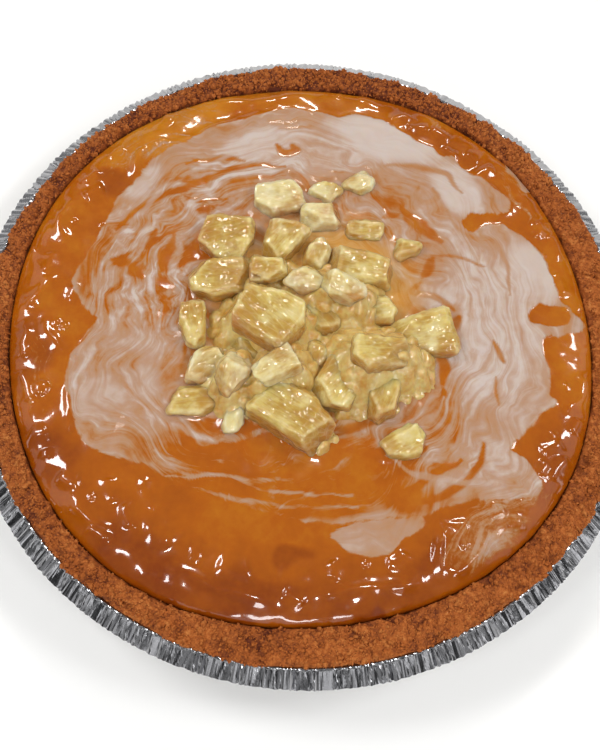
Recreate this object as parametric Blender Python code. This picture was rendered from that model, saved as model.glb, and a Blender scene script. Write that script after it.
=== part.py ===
"""A baked cheesecake in a crumb crust, still in its pleated foil tin, with fruit chunks on top.

The origin is the middle of the tin's flat base, on the surface that it stands on. +Z is up, and
the side that shows most of the tin's skirt in use, the near side, is at -Y.
"""

import math
import random

import bmesh
import bpy
import numpy as np
from mathutils import Matrix, Vector, noise

MM = 0.001
FULL_TURN = 2 * math.pi

# Foil tin: a nine inch pie tin. Its rim folds over and slopes down as a pleated skirt.
TIN_RADIUS = 118.0 * MM
LIP_RADIUS = 112.2 * MM
LIP_HEIGHT = 28.0 * MM
LIP_FOLD = 1.7 * MM
SKIRT_DROP = 3.8 * MM
BASE_RADIUS = 86.0 * MM
BASE_CORNER = 3.0 * MM
FOIL = 0.5 * MM
PLEATS = 96
SKIRT_PLEAT = 0.45 * MM
WALL_PLEAT = 0.22 * MM

# Crumb crust: a pressed bowl of biscuit crumbs that lines the tin, with a rounded crown.
CRUST_BASE = 6.0 * MM
CRUST_HALF_WALL = 4.2 * MM
CROWN_ANGLES = (0, 32, 68, 112, 148, 180)
CROWN_FOOT = 27.2 * MM
CROWN_HEIGHT = 30.4 * MM
CROWN_FLATNESS = 0.6
CROWN_STEP = 0.6 * MM
CROWN_SHY = 2.2 * MM
CROWN_CRAG = 0.8 * MM
CRAG_SPACING = 5.5 * MM
FIT_GAP = 0.4 * MM
CRUST_STEPS = 132

# Cheesecake: it fills the crust, with a puffed shoulder inside its edge and a sunken middle.
CAKE_RADIUS = 101.8 * MM
EDGE_HEIGHT = 26.6 * MM
SHOULDER_RISE = 4.6 * MM
SHOULDER_WIDTH = 9.5 * MM
MIDDLE_HEIGHT = 28.2 * MM
MIDDLE_REACH = 48.0 * MM
CAKE_STEPS = 108
WAVE_HEIGHT = 1.0 * MM
WAVE_SPACING = 15.0 * MM

# Where crust and cake meet, below the cake's edge: the foot of the edge, the wall's bend and the floor.
EDGE_FOOT = EDGE_HEIGHT - 1.5 * MM
BEND_RADIUS = CAKE_RADIUS - 11.0 * MM
BEND_HEIGHT = 15.0 * MM
FLOOR_RADIUS = CAKE_RADIUS - 20.3 * MM

# How far inside its edge, in millimetres, each ring of the cake's top lies.
TOP_RINGS = (0.0, 0.7, 2.2, 5.0, 9.5, 15.0, 21.0, 28.0, 36.0, 46.0, 58.0, 74.0)

# The cake's edge isn't round: one wide swell and a fourfold one (height, turns, facing angle).
EDGE_SWELLS = ((1.8 * MM, 1, 160.0), (1.3 * MM, 4, 57.0))

# Fruit chunks: how they are cut, and how they lie.
FOOT_SPREAD = 1.1
TOP_SPREAD = 1.0
CHUNK_BEVEL = 1.2 * MM
CHUNK_GAP = 0.35 * MM
CHUNK_JITTER = 0.08
HEAP_REACH = 68.0 * MM
HEAP_CELL = 0.5 * MM
SLIDE = 1.6 * MM
LEAN_ANGLES = (9.0, 18.0)
LEAN_DIRECTIONS = 8

# Corners of each cut, in shares of half its length and half its width.
CUTS = {
    "block": ((-1.0, -0.85), (0.9, -1.0), (1.0, 0.75), (-0.8, 1.0)),
    "wedge": ((-1.0, -0.35), (0.85, -1.0), (1.0, 0.8), (-0.85, 0.45)),
    "petal": ((-1.0, 0.0), (-0.35, -0.85), (0.5, -0.8), (1.0, 0.05), (0.4, 0.85), (-0.4, 0.8)),
}

# Each chunk in millimetres and degrees: cut, x, y, length, width, thickness, turn.
# The first list lies on the cake, and the second one on the chunks of the first.
LOWER_CHUNKS = (
    ("block", -33, 28, 18, 15, 8, 6),
    ("block", -31, 13, 18, 12, 9, 22),
    ("wedge", 18, 22, 23, 16, 9, 185),
    ("block", 14, 37, 14, 7, 5, 8),
    ("block", 25, 8, 11, 9, 7, 12),
    ("wedge", 40, 1, 21, 17, 8, 20),
    ("block", 7, 0, 15, 11, 7, 170),
    ("block", -17, -13, 14, 10, 7, 150),
    ("wedge", 2, -36, 26, 19, 10, 147),
    ("block", 10, -21, 17, 13, 10, 72),
    ("petal", -34, -19, 16, 11, 7, 35),
    ("block", -34, -32, 15, 10, 5, 18),
    ("petal", -23, -37, 8, 7, 6, 60),
    ("wedge", -38, -5, 14, 10, 8, 115),
    ("block", -18, 49, 19, 11, 7, 25),
    ("petal", -1, 54, 12, 8, 5, 15),
    ("block", 11, 57, 10, 8, 5, 40),
    ("wedge", 31, 34, 9, 8, 6, 195),
    ("wedge", 34, -40, 16, 12, 5, 35),
    ("block", -2, 43, 12, 8, 7, 12),
    ("petal", 26, -25, 17, 15, 9, 95),
    ("wedge", -13, 27, 16, 14, 9, 75),
    ("block", -11, 6, 14, 12, 6, 50),
)
UPPER_CHUNKS = (
    ("block", -12, -5, 21, 17, 7, 158),
    ("petal", 0, 24, 14, 9, 7, 80),
    ("block", -18, 13, 11, 8, 6, 8),
    ("petal", -4, 12, 14, 8, 6, 15),
    ("block", 9, 10, 14, 7, 6, 170),
    ("wedge", 23, -12, 20, 13, 7, 200),
    ("wedge", -7, -21, 17, 11, 6, 40),
    ("petal", 2, -13, 13, 8, 7, 75),
    ("petal", -21, -23, 15, 10, 8, 85),
)

# Colours are linear. Each finish is its colour, roughness and metallic value.
FINISHES = {
    "foil": ((0.72, 0.72, 0.73), 0.28, 1.0),
    "baked_crumb": ((0.40, 0.13, 0.035), 0.85, 0.0),
    "glazed_top": ((0.55, 0.19, 0.02), 0.15, 0.0),
    "soaked_fruit": ((0.72, 0.55, 0.20), 0.2, 0.0),
}


def material_of(finish):
    """The named finish as a Principled BSDF, made once."""
    found = bpy.data.materials.get(finish)
    if found:
        return found
    colour, roughness, metallic = FINISHES[finish]
    made = bpy.data.materials.new(finish)
    made.use_nodes = True
    shader = made.node_tree.nodes["Principled BSDF"]
    shader.inputs["Base Color"].default_value = (*colour, 1.0)
    shader.inputs["Roughness"].default_value = roughness
    shader.inputs["Metallic"].default_value = metallic
    made.diffuse_color = (*colour, 1.0)
    return made


def object_from(name, bm, finish):
    """The bmesh as a named object with its finish, shaded smooth across its gentle edges."""
    mesh = bpy.data.meshes.new(name)
    bm.to_mesh(mesh)
    bm.free()
    mesh.shade_smooth()
    mesh.set_sharp_from_angle(angle=math.radians(30))
    mesh.materials.append(material_of(finish))
    made = bpy.data.objects.new(name, mesh)
    bpy.context.scene.collection.objects.link(made)
    return made


def turned(profile, steps):
    """A bmesh turned about Z from (radius, height) points, of which an end at radius 0 is closed."""
    bm = bmesh.new()
    line = [bm.verts.new((radius, 0.0, height)) for radius, height in profile]
    for first, second in zip(line, line[1:]):
        bm.edges.new((first, second))
    bmesh.ops.spin(
        bm, geom=bm.verts[:] + bm.edges[:], axis=(0, 0, 1), cent=(0, 0, 0), angle=FULL_TURN, steps=steps
    )
    bmesh.ops.remove_doubles(bm, verts=bm.verts[:], dist=0.001 * MM)
    bmesh.ops.recalc_face_normals(bm, faces=bm.faces[:])
    bm.normal_update()
    return bm


def share(value, low, high):
    """How far value is from low to high, eased at both ends and kept from 0 to 1."""
    t = min(1.0, max(0.0, (value - low) / (high - low)))
    return t * t * (3 - 2 * t)


def cake_edge(angle):
    """The radius of the cake's edge in the direction of angle, in radians."""
    swells = (high * math.cos(turns * (angle - math.radians(faces))) for high, turns, faces in EDGE_SWELLS)
    return CAKE_RADIUS + sum(swells)


def edge_fitted(x, y):
    """A point of the round cake moved out or in, so that the cake's edge is at cake_edge."""
    radius, angle = math.hypot(x, y), math.atan2(y, x)
    moved = radius * cake_edge(angle) / CAKE_RADIUS
    return moved * math.cos(angle), moved * math.sin(angle)


def waves(x, y):
    """The ripples of the baked skin, highest towards the shoulder."""
    strength = 0.3 + 0.7 * share(math.hypot(x, y), 45 * MM, 80 * MM)
    fade = 1 - share(math.hypot(x, y), CAKE_RADIUS - SHOULDER_WIDTH, CAKE_RADIUS)
    place = Vector((x, y, 0.0)) / WAVE_SPACING
    return WAVE_HEIGHT * strength * fade * noise.noise(place)


def cake_height(x, y):
    """The height of the cake's top at a point of the round cake, before edge_fitted."""
    inward = CAKE_RADIUS - math.hypot(x, y)
    rise = SHOULDER_RISE * math.sqrt(1 - (1 - min(1.0, inward / SHOULDER_WIDTH)) ** 2)
    shoulder = EDGE_HEIGHT + rise
    sink = share(inward, SHOULDER_WIDTH, MIDDLE_REACH)
    return shoulder + (MIDDLE_HEIGHT - shoulder) * sink + waves(x, y)


def wall_radius(height):
    """The outer radius of the tin's sloping wall at a height."""
    foot = (BASE_RADIUS + BASE_CORNER, BASE_CORNER)
    head = (LIP_RADIUS - LIP_FOLD, LIP_HEIGHT - LIP_FOLD)
    return foot[0] + (head[0] - foot[0]) * (height - foot[1]) / (head[1] - foot[1])


def make_foil_tin():
    """The tin as one pleated sheet of foil, given its thickness by Solidify."""
    profile = [
        (0.0, 0.0),
        (BASE_RADIUS, 0.0),
        (wall_radius(BASE_CORNER), BASE_CORNER),
        (LIP_RADIUS - LIP_FOLD, LIP_HEIGHT - LIP_FOLD),
        (LIP_RADIUS, LIP_HEIGHT),
        (LIP_RADIUS + LIP_FOLD, LIP_HEIGHT - LIP_FOLD / 2),
        (TIN_RADIUS, LIP_HEIGHT - SKIRT_DROP),
    ]
    bm = turned(profile, 2 * PLEATS)
    normals = {v: v.normal.copy() for v in bm.verts}
    for v in bm.verts:
        radius = math.hypot(v.co.x, v.co.y)
        on_skirt = share(radius, LIP_RADIUS, TIN_RADIUS - 2 * MM)
        on_wall = share(v.co.z, BASE_CORNER, LIP_HEIGHT - 6 * MM) * share(LIP_RADIUS - radius, 0.0, MM)
        ridge = math.cos(PLEATS * math.atan2(v.co.y, v.co.x))
        v.co += normals[v] * ridge * (SKIRT_PLEAT * on_skirt + WALL_PLEAT * on_wall)
    tin = object_from("foil_tin", bm, "foil")
    sheet = tin.modifiers.new("sheet", "SOLIDIFY")
    sheet.thickness = FOIL
    sheet.offset = 1.0
    return tin


def crust_profile():
    """The crust's closed outline, from the middle of its underside round to the middle of its floor."""
    low = FOIL + FIT_GAP
    clear = FOIL + FIT_GAP + WALL_PLEAT
    outer = [(0.0, low), (BASE_RADIUS - 2 * clear, low)]
    outer += [(wall_radius(height * MM) - 1.6 * clear, height * MM) for height in (4, 16, 25)]
    inside, outside = CAKE_RADIUS + CROWN_STEP, LIP_RADIUS - CROWN_SHY
    crown = []
    for angle in map(math.radians, CROWN_ANGLES):
        across = (outside + inside) / 2 + (outside - inside) / 2 * math.cos(angle)
        rise = abs(math.sin(angle)) ** CROWN_FLATNESS
        crown.append((across, CROWN_FOOT + (CROWN_HEIGHT - CROWN_FOOT) * rise))
    inner = [
        (CAKE_RADIUS + FIT_GAP, EDGE_FOOT),
        (BEND_RADIUS + FIT_GAP, BEND_HEIGHT),
        (FLOOR_RADIUS + FIT_GAP, low + CRUST_BASE),
        (0.0, low + CRUST_BASE),
    ]
    return outer + crown + inner


def make_crumb_crust():
    """The crust, whose crown is rough with crags and whose inside fits the cake's uneven edge."""
    bm = turned(crust_profile(), CRUST_STEPS)
    outside = LIP_RADIUS - CROWN_SHY - 2 * MM
    for v in bm.verts:
        radius, angle = math.hypot(v.co.x, v.co.y), math.atan2(v.co.y, v.co.x)
        on_crown = v.co.z > CROWN_FOOT - 0.1 * MM
        if on_crown:
            inner_share = 1 - share(radius, CAKE_RADIUS + CROWN_STEP, outside)
        else:
            inner_share = 1.0 if radius < wall_radius(v.co.z) - CRUST_HALF_WALL else 0.0
        radius *= 1 + (cake_edge(angle) / CAKE_RADIUS - 1) * inner_share
        v.co.x, v.co.y = radius * math.cos(angle), radius * math.sin(angle)
        if on_crown:
            crag = noise.noise_vector(v.co / CRAG_SPACING) * CROWN_CRAG
            if radius > outside:
                crag.x, crag.z = -abs(crag.x), abs(crag.z)
            v.co += Vector((crag.x * math.cos(angle), crag.x * math.sin(angle), crag.z))
    return object_from("crumb_crust", bm, "baked_crumb")


def cake_profile():
    """The cake's outline, from the middle of its underside to the middle of its top."""
    floor = FOIL + FIT_GAP + CRUST_BASE + FIT_GAP
    side = [
        (0.0, floor),
        (FLOOR_RADIUS - FIT_GAP, floor),
        (BEND_RADIUS - FIT_GAP, BEND_HEIGHT),
        (CAKE_RADIUS - FIT_GAP, EDGE_FOOT),
    ]
    top = [(CAKE_RADIUS - FIT_GAP - inward * MM, EDGE_HEIGHT) for inward in TOP_RINGS]
    return side + top + [(0.0, EDGE_HEIGHT)]


def make_cheesecake():
    """The cake as one solid, with its shoulder, ripples and uneven edge."""
    bm = turned(cake_profile(), CAKE_STEPS)
    for v in bm.verts:
        if v.co.z >= EDGE_HEIGHT - 0.01 * MM:
            v.co.z = cake_height(v.co.x, v.co.y)
        v.co.x, v.co.y = edge_fitted(v.co.x, v.co.y)
    return object_from("cheesecake", bm, "glazed_top")


class Heap:
    """The chunks that lie so far, kept as a height map that says where the next one comes to rest."""

    def __init__(self):
        cells = np.arange(-HEAP_REACH, HEAP_REACH, HEAP_CELL)
        self.x, self.y = np.meshgrid(cells, cells, indexing="ij")
        bare = [[cake_height(x, y) for y in cells] for x in cells]
        self.height = np.array(bare)

    def shadow(self, corners, planes):
        """The grid's window under a convex shape, and the shape's underside and top there."""
        reach = [(min(c[i] for c in corners), max(c[i] for c in corners)) for i in (0, 1)]
        window = tuple(
            slice(int((low + HEAP_REACH) / HEAP_CELL), int((high + HEAP_REACH) / HEAP_CELL) + 2)
            for low, high in reach
        )
        x, y = self.x[window], self.y[window]
        under, top = np.full(x.shape, -1.0), np.full(x.shape, 1.0)
        inside = np.ones(x.shape, bool)
        for normal, distance in planes:
            rest = distance - normal.x * x - normal.y * y
            if normal.z < -0.01:
                under = np.maximum(under, rest / normal.z)
            elif normal.z > 0.01:
                top = np.minimum(top, rest / normal.z)
            else:
                inside &= rest > 0
        inside &= top > under
        return window, inside, under, top

    def resting_height(self, corners, planes):
        """How far up a shape has to go to clear all that lies below it."""
        window, inside, under, _ = self.shadow(corners, planes)
        return float((self.height[window] - under)[inside].max())

    def cover(self, corners, planes):
        """Adds a shape that has come to rest."""
        window, inside, _, top = self.shadow(corners, planes)
        raised = np.where(inside, top, self.height[window])
        self.height[window] = np.maximum(self.height[window], raised)


def cut_chunk(cut, length, width, thick, random_numbers):
    """One chunk as a convex bmesh about its own middle, with its corners a little off."""
    bm = bmesh.new()
    for level, spread in ((-0.5, FOOT_SPREAD), (0.5, TOP_SPREAD)):
        for along, across in CUTS[cut]:
            off = [random_numbers.uniform(-CHUNK_JITTER, CHUNK_JITTER) for _ in range(3)]
            x = (along * spread + off[0]) * length / 2
            y = (across * spread + off[1]) * width / 2
            bm.verts.new((x, y, (level + off[2]) * thick))
    bmesh.ops.convex_hull(bm, input=bm.verts[:])
    bmesh.ops.dissolve_limit(bm, angle_limit=math.radians(1), verts=bm.verts[:], edges=bm.edges[:])
    bmesh.ops.recalc_face_normals(bm, faces=bm.faces[:])
    return bm


def planes_of(bm, matrix, clearance):
    """The corners of a convex bmesh once moved by matrix, and its planes pushed out by clearance."""
    turn = matrix.to_3x3()
    planes = []
    for face in bm.faces:
        normal = (turn @ face.normal).normalized()
        distance = max(normal.dot(matrix @ v.co) for v in face.verts) + clearance
        planes.append((normal, distance))
    return [matrix @ v.co for v in bm.verts], planes


def leans():
    """Every lean that a chunk is tried at, the flat one first."""
    yield Matrix.Identity(4)
    for angle in LEAN_ANGLES:
        for step in range(LEAN_DIRECTIONS):
            towards = FULL_TURN * step / LEAN_DIRECTIONS
            axis = Vector((math.cos(towards), math.sin(towards), 0.0))
            yield Matrix.Rotation(math.radians(angle), 4, axis)


def settle(bm, x, y, turn, heap):
    """The matrix at which a chunk lies lowest, near its own place, on the heap."""
    upright = Matrix.Rotation(math.radians(turn), 4, "Z")
    best = None
    for lean in leans():
        for slide_x in (-SLIDE, 0.0, SLIDE):
            for slide_y in (-SLIDE, 0.0, SLIDE):
                place = Matrix.Translation((x + slide_x, y + slide_y, 0.0)) @ lean @ upright
                height = heap.resting_height(*planes_of(bm, place, CHUNK_GAP))
                if best is None or height < best[0]:
                    best = (height, place)
    return Matrix.Translation((0.0, 0.0, best[0])) @ best[1]


def make_fruit_chunks():
    """The fruit chunks, each dropped in turn onto what lies there already."""
    random_numbers = random.Random(7)
    heap = Heap()
    for number, chunk in enumerate(LOWER_CHUNKS + UPPER_CHUNKS, start=1):
        cut, x, y, length, width, thick, turn = chunk
        bm = cut_chunk(cut, length * MM, width * MM, thick * MM, random_numbers)
        place = settle(bm, x * MM, y * MM, turn, heap)
        heap.cover(*planes_of(bm, place, CHUNK_GAP))
        bmesh.ops.bevel(
            bm, geom=bm.edges[:], offset=CHUNK_BEVEL, segments=1, affect="EDGES", clamp_overlap=True
        )
        made = object_from(f"fruit_chunk_{number:02d}", bm, "soaked_fruit")
        made.matrix_world = place


def main():
    """Clears the scene and makes the whole part."""
    for old in list(bpy.data.objects):
        bpy.data.objects.remove(old)
    make_foil_tin()
    make_crumb_crust()
    make_cheesecake()
    make_fruit_chunks()


main()
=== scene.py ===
"""The looks of a baked cheesecake in a crumb crust and a pleated foil tin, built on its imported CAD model.

Every place here is in metres in the part's frame: the origin is the middle of the tin's base, +Z is up
and the near side is at -Y. What is drawn on the cake's top, such as icing, streaks and ripples, is
given in millimetres as it lies on a level plane through the shoulder of the cake.
"""

import logging
import math
import random
from dataclasses import dataclass
from enum import Enum
from functools import partial
from typing import Any, Callable, Iterable, Sequence

import bmesh
import bpy
import numpy as np
from bpy.types import Material, Mesh, NodeSocket, NodeTree, Object
from mathutils import Matrix, Vector, geometry, noise


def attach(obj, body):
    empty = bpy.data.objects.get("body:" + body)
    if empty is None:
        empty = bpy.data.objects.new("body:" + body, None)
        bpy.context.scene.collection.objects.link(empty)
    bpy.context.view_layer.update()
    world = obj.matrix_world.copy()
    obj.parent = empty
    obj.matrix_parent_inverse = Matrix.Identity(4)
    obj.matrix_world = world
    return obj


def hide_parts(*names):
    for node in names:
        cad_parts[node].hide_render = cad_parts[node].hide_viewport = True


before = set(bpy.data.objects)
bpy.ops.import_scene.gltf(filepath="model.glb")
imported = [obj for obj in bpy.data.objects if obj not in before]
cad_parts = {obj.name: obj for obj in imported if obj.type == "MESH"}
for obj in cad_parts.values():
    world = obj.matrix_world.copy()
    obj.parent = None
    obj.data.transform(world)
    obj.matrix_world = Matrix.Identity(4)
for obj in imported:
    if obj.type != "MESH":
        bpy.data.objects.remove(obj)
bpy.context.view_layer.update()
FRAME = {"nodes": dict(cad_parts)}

MM = 0.001
FULL_TURN = 2 * math.pi
BODY = "root"
MATH = "ShaderNodeMath"
MIX = "ShaderNodeMix"
NOISE = "ShaderNodeTexNoise"
RAMP = "ShaderNodeValToRGB"
ATTRIBUTE = "ShaderNodeAttribute"
BUMP = "ShaderNodeBump"
RANGE = "ShaderNodeMapRange"
# How strong each finer layer of a noise is.
FINENESS = 0.55
LOG = logging.getLogger("cheesecake")

Point = tuple[float, float]
Path = tuple[Point, ...]


# Colours, nodes and meshes


def linear(code: str) -> tuple[float, float, float, float]:
    """Turns an sRGB hex colour into linear RGBA.

    Args:
        code: six hex digits.

    Returns:
        The linear colour, opaque.
    """
    parts = [int(code[i : i + 2], 16) / 255 for i in (0, 2, 4)]
    turned = [c / 12.92 if c <= 0.04045 else ((c + 0.055) / 1.055) ** 2.4 for c in parts]
    return (turned[0], turned[1], turned[2], 1.0)


def fill_inputs(node: Any, inputs: dict[Any, Any] | Sequence[Any]) -> None:
    """Fills or links a node's inputs.

    Args:
        node: the shader or geometry node.
        inputs: each input's name or number, and a value or the socket that feeds it, or just these in order.
    """
    pairs = inputs.items() if isinstance(inputs, dict) else enumerate(inputs)
    for name, value in pairs:
        if isinstance(value, NodeSocket):
            node.id_data.links.new(value, node.inputs[name])
        else:
            node.inputs[name].default_value = value


def add_node(tree: NodeTree, kind: str, inputs: Any = (), out: int | str = 0, **settings: Any) -> Any:
    """Adds a node, sets its properties, and fills or links its inputs.

    Args:
        tree: the shader or geometry tree.
        kind: the node's type name.
        inputs: what fill_inputs takes.
        out: the output's number or name.
        settings: the node's own properties. A ramp's stops are each one's place and hex colour, in order.

    Returns:
        That output's socket, or None for a node that has no output.
    """
    node = tree.nodes.new(kind)
    stops = settings.pop("stops", ())
    for name, value in settings.items():
        setattr(node, name, value)
    for _ in stops[2:]:
        node.color_ramp.elements.new(1.0)
    for number, (place, code) in enumerate(stops):
        node.color_ramp.elements[number].position = place
        node.color_ramp.elements[number].color = linear(code)
    fill_inputs(node, inputs)
    return node.outputs[out] if node.outputs else None


def blank_material(name: str) -> tuple[Material, Callable[..., Any], Any]:
    """Makes a material that holds one Principled shader.

    Args:
        name: the material's name.

    Returns:
        The material, what adds a node to its tree, and the shader node.
    """
    material = bpy.data.materials.new(name)
    material.use_nodes = True
    tree = material.node_tree
    return material, partial(add_node, tree), tree.nodes["Principled BSDF"]


def new_object(name: str, data: Any) -> Object:
    """Makes an object of this mesh, light or camera and links it into the scene."""
    made = bpy.data.objects.new(name, data)
    bpy.context.scene.collection.objects.link(made)
    return made


def mesh_object(name: str, points: np.ndarray, faces: Sequence[Sequence[int]]) -> Object:
    """Makes a smooth-shaded mesh object at the origin.

    Args:
        name: the object's name.
        points: its points as rows, in metres.
        faces: its faces, each as a row of point numbers, outwards by the right-hand rule.

    Returns:
        The object, linked into the scene.
    """
    mesh = bpy.data.meshes.new(name)
    mesh.from_pydata(points.tolist(), [], [list(face) for face in faces])
    mesh.update()
    mesh.shade_smooth()
    return new_object(name, mesh)


def store(mesh: Mesh, name: str, values: np.ndarray) -> None:
    """Keeps a number or a vector for each point of a mesh as an attribute.

    Args:
        mesh: the mesh.
        name: the attribute's name.
        values: one number, or one row of three numbers, for each point.
    """
    is_vector = values.ndim == 2
    kept = mesh.attributes.new(name, "FLOAT_VECTOR" if is_vector else "FLOAT", "POINT")
    kept.data.foreach_set("vector" if is_vector else "value", values.astype(np.float32).ravel())


def points_of(mesh: Mesh) -> np.ndarray:
    """The mesh's points as rows of x, y and z."""
    points = np.empty(len(mesh.vertices) * 3)
    mesh.vertices.foreach_get("co", points)
    return points.reshape(-1, 3)


def plain_copy(source: Object, name: str) -> Object:
    """Turns an object with live modifiers into a new object of one plain mesh.

    Args:
        source: the object, which is removed.
        name: the new object's name.

    Returns:
        The new object, with no modifier.
    """
    graph = bpy.context.evaluated_depsgraph_get()
    mesh = bpy.data.meshes.new_from_object(source.evaluated_get(graph))
    bpy.data.objects.remove(source)
    mesh.name = name
    return new_object(name, mesh)


def place_piece(piece: Object, slot: str, *nodes: str) -> None:
    """Lets a finished piece ride on the object and hides the CAD nodes it stands for."""
    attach(piece, BODY)
    if nodes:
        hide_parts(*nodes)
    LOG.info("%s: %d faces", piece.name, len(piece.data.polygons))


def use_nodes(piece: Object, tree: NodeTree, values: dict[str, Any]) -> None:
    """Adds a Geometry Nodes modifier and sets its named inputs by their sockets' identifiers.

    Args:
        piece: the object that the tree works on.
        tree: the geometry tree.
        values: each input's name and value.
    """
    modifier = piece.modifiers.new(tree.name, "NODES")
    modifier.node_group = tree
    for item in tree.interface.items_tree:
        if item.item_type == "SOCKET" and item.in_out == "INPUT" and item.name in values:
            modifier[item.identifier] = values[item.name]


def geometry_tree(name: str, inputs: dict[str, tuple[str, Any]]) -> tuple[NodeTree, Any]:
    """Makes a geometry tree with named inputs.

    Args:
        name: the tree's name.
        inputs: each input's name, and its socket type and default value.

    Returns:
        The tree and the sockets that give its inputs.
    """
    tree = bpy.data.node_groups.new(name, "GeometryNodeTree")
    tree.interface.new_socket("Geometry", in_out="INPUT", socket_type="NodeSocketGeometry")
    tree.interface.new_socket("Geometry", in_out="OUTPUT", socket_type="NodeSocketGeometry")
    for label, (kind, value) in inputs.items():
        socket = tree.interface.new_socket(label, in_out="INPUT", socket_type=kind)
        if value is not None:
            socket.default_value = value
    return tree, add_node(tree, "NodeGroupInput").node.outputs


def end_tree(tree: NodeTree, shape: Any, material: Any) -> None:
    """Ends a geometry tree in Realize Instances and Set Material."""
    real = add_node(tree, "GeometryNodeRealizeInstances", {"Geometry": shape})
    dressed = add_node(tree, "GeometryNodeSetMaterial", {"Geometry": real, "Material": material})
    add_node(tree, "NodeGroupOutput", {"Geometry": dressed})


# Shares, noise and distances on arrays


def share(value: Any, low: float, high: float) -> Any:
    """How far value is from low to high, eased at both ends and kept from 0 to 1."""
    t = np.clip((value - low) / (high - low), 0.0, 1.0)
    return t * t * (3 - 2 * t)


def noise_at(points: np.ndarray, size: float, layer: float = 0.0) -> np.ndarray:
    """Smooth noise from about -1 to 1 at each point.

    Args:
        points: rows of two or three numbers.
        size: the width of its lumps, in the unit of the points.
        layer: shifts the pattern, for another one of the same kind.

    Returns:
        One number for each point.
    """
    rows = points / size
    if rows.shape[1] == 2:
        rows = np.column_stack([rows, np.zeros(len(rows))])
    rows = rows + np.array([0.0, 0.0, layer])
    return np.fromiter((noise.noise(Vector(row)) for row in rows), float, len(rows))


def lumps_at(points: np.ndarray, size: float) -> np.ndarray:
    """Rounded lumps with creases between them, from 0 in a crease to about 1 on a lump.

    Args:
        points: rows of three numbers.
        size: the width of the lumps, in the unit of the points.

    Returns:
        One number for each point.
    """
    rows = points / size
    nearest = (noise.voronoi(Vector(row))[0] for row in rows)
    gaps = np.array([found[1] - found[0] for found in nearest])
    return 1 - (1 - np.clip(gaps * 1.6, 0.0, 1.0)) ** 2


def eased_path(path: Path, closed: bool = False, parts: int = 4) -> np.ndarray:
    """A smooth line through drawn points.

    Args:
        path: the drawn points.
        closed: whether the last point joins the first.
        parts: how many pieces each stretch between two points is cut into.

    Returns:
        Rows of x and y.
    """
    points = np.array(path, float)
    if closed:
        points = np.vstack([points[-1], points, points[:2]])
    else:
        points = np.vstack([2 * points[0] - points[1], points, 2 * points[-1] - points[-2]])
    line = []
    for a, b, c, d in zip(points, points[1:], points[2:], points[3:]):
        for t in np.arange(parts) / parts:
            bend = 2 * b + (c - a) * t + (2 * a - 5 * b + 4 * c - d) * t**2 + (3 * b - a - 3 * c + d) * t**3
            line.append(bend / 2)
    line.append(points[-2])
    return np.array(line)


def line_distance(places: np.ndarray, line: np.ndarray) -> tuple[np.ndarray, np.ndarray]:
    """How far each place is from a line.

    Args:
        places: rows of x and y.
        line: the line's points as rows.

    Returns:
        The distance, and how far along the line its nearest point is, from 0 to 1.
    """
    nearest = np.full(len(places), 1e9)
    along = np.zeros(len(places))
    steps = np.linalg.norm(np.diff(line, axis=0), axis=1)
    starts = np.concatenate([[0.0], np.cumsum(steps)])
    for start, end, length, before in zip(line, line[1:], steps, starts):
        if length < 1e-9:
            continue
        t = np.clip((places - start) @ (end - start) / length**2, 0.0, 1.0)
        distance = np.linalg.norm(places - start - t[:, None] * (end - start), axis=1)
        closer = distance < nearest
        nearest[closer] = distance[closer]
        along[closer] = (before + t[closer] * length) / starts[-1]
    return nearest, along


def near_line(places: np.ndarray, line: np.ndarray, reach: float) -> np.ndarray:
    """The numbers of the places that lie within reach of a line's own box."""
    low, high = line.min(0) - reach, line.max(0) + reach
    return np.flatnonzero(((places > low) & (places < high)).all(1))


def outline_distance(places: np.ndarray, outline: np.ndarray) -> np.ndarray:
    """How far inside a closed outline each place is, below 0 outside it.

    Args:
        places: rows of x and y.
        outline: the outline's points as rows.

    Returns:
        One distance for each place.
    """
    distance, _ = line_distance(places, outline)
    inside = np.zeros(len(places), bool)
    x, y = places[:, 0], places[:, 1]
    for (x1, y1), (x2, y2) in zip(outline, np.roll(outline, -1, axis=0)):
        if y1 == y2:
            continue
        crosses = (y1 > y) != (y2 > y)
        inside ^= crosses & (x < (x2 - x1) * (y - y1) / (y2 - y1) + x1)
    return np.where(inside, distance, -distance)


def ring_rows(radius: Any, angles: np.ndarray, height: float) -> np.ndarray:
    """Points on a level ring.

    Args:
        radius: its radius, or one for each point.
        angles: where its points are, in radians.
        height: how high it lies.

    Returns:
        Rows of x, y and z.
    """
    return np.column_stack([radius * np.cos(angles), radius * np.sin(angles), np.full(len(angles), height)])


def ring_faces(first: int, second: int, count: int) -> list[tuple[int, ...]]:
    """The four-sided faces from one ring of count points to the next one out or down.

    Args:
        first: the number of the first ring's first point.
        second: the number of the second ring's first point.
        count: how many points each ring has.

    Returns:
        The faces.
    """
    steps = range(count)
    return [(first + j, second + j, second + (j + 1) % count, first + (j + 1) % count) for j in steps]


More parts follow.
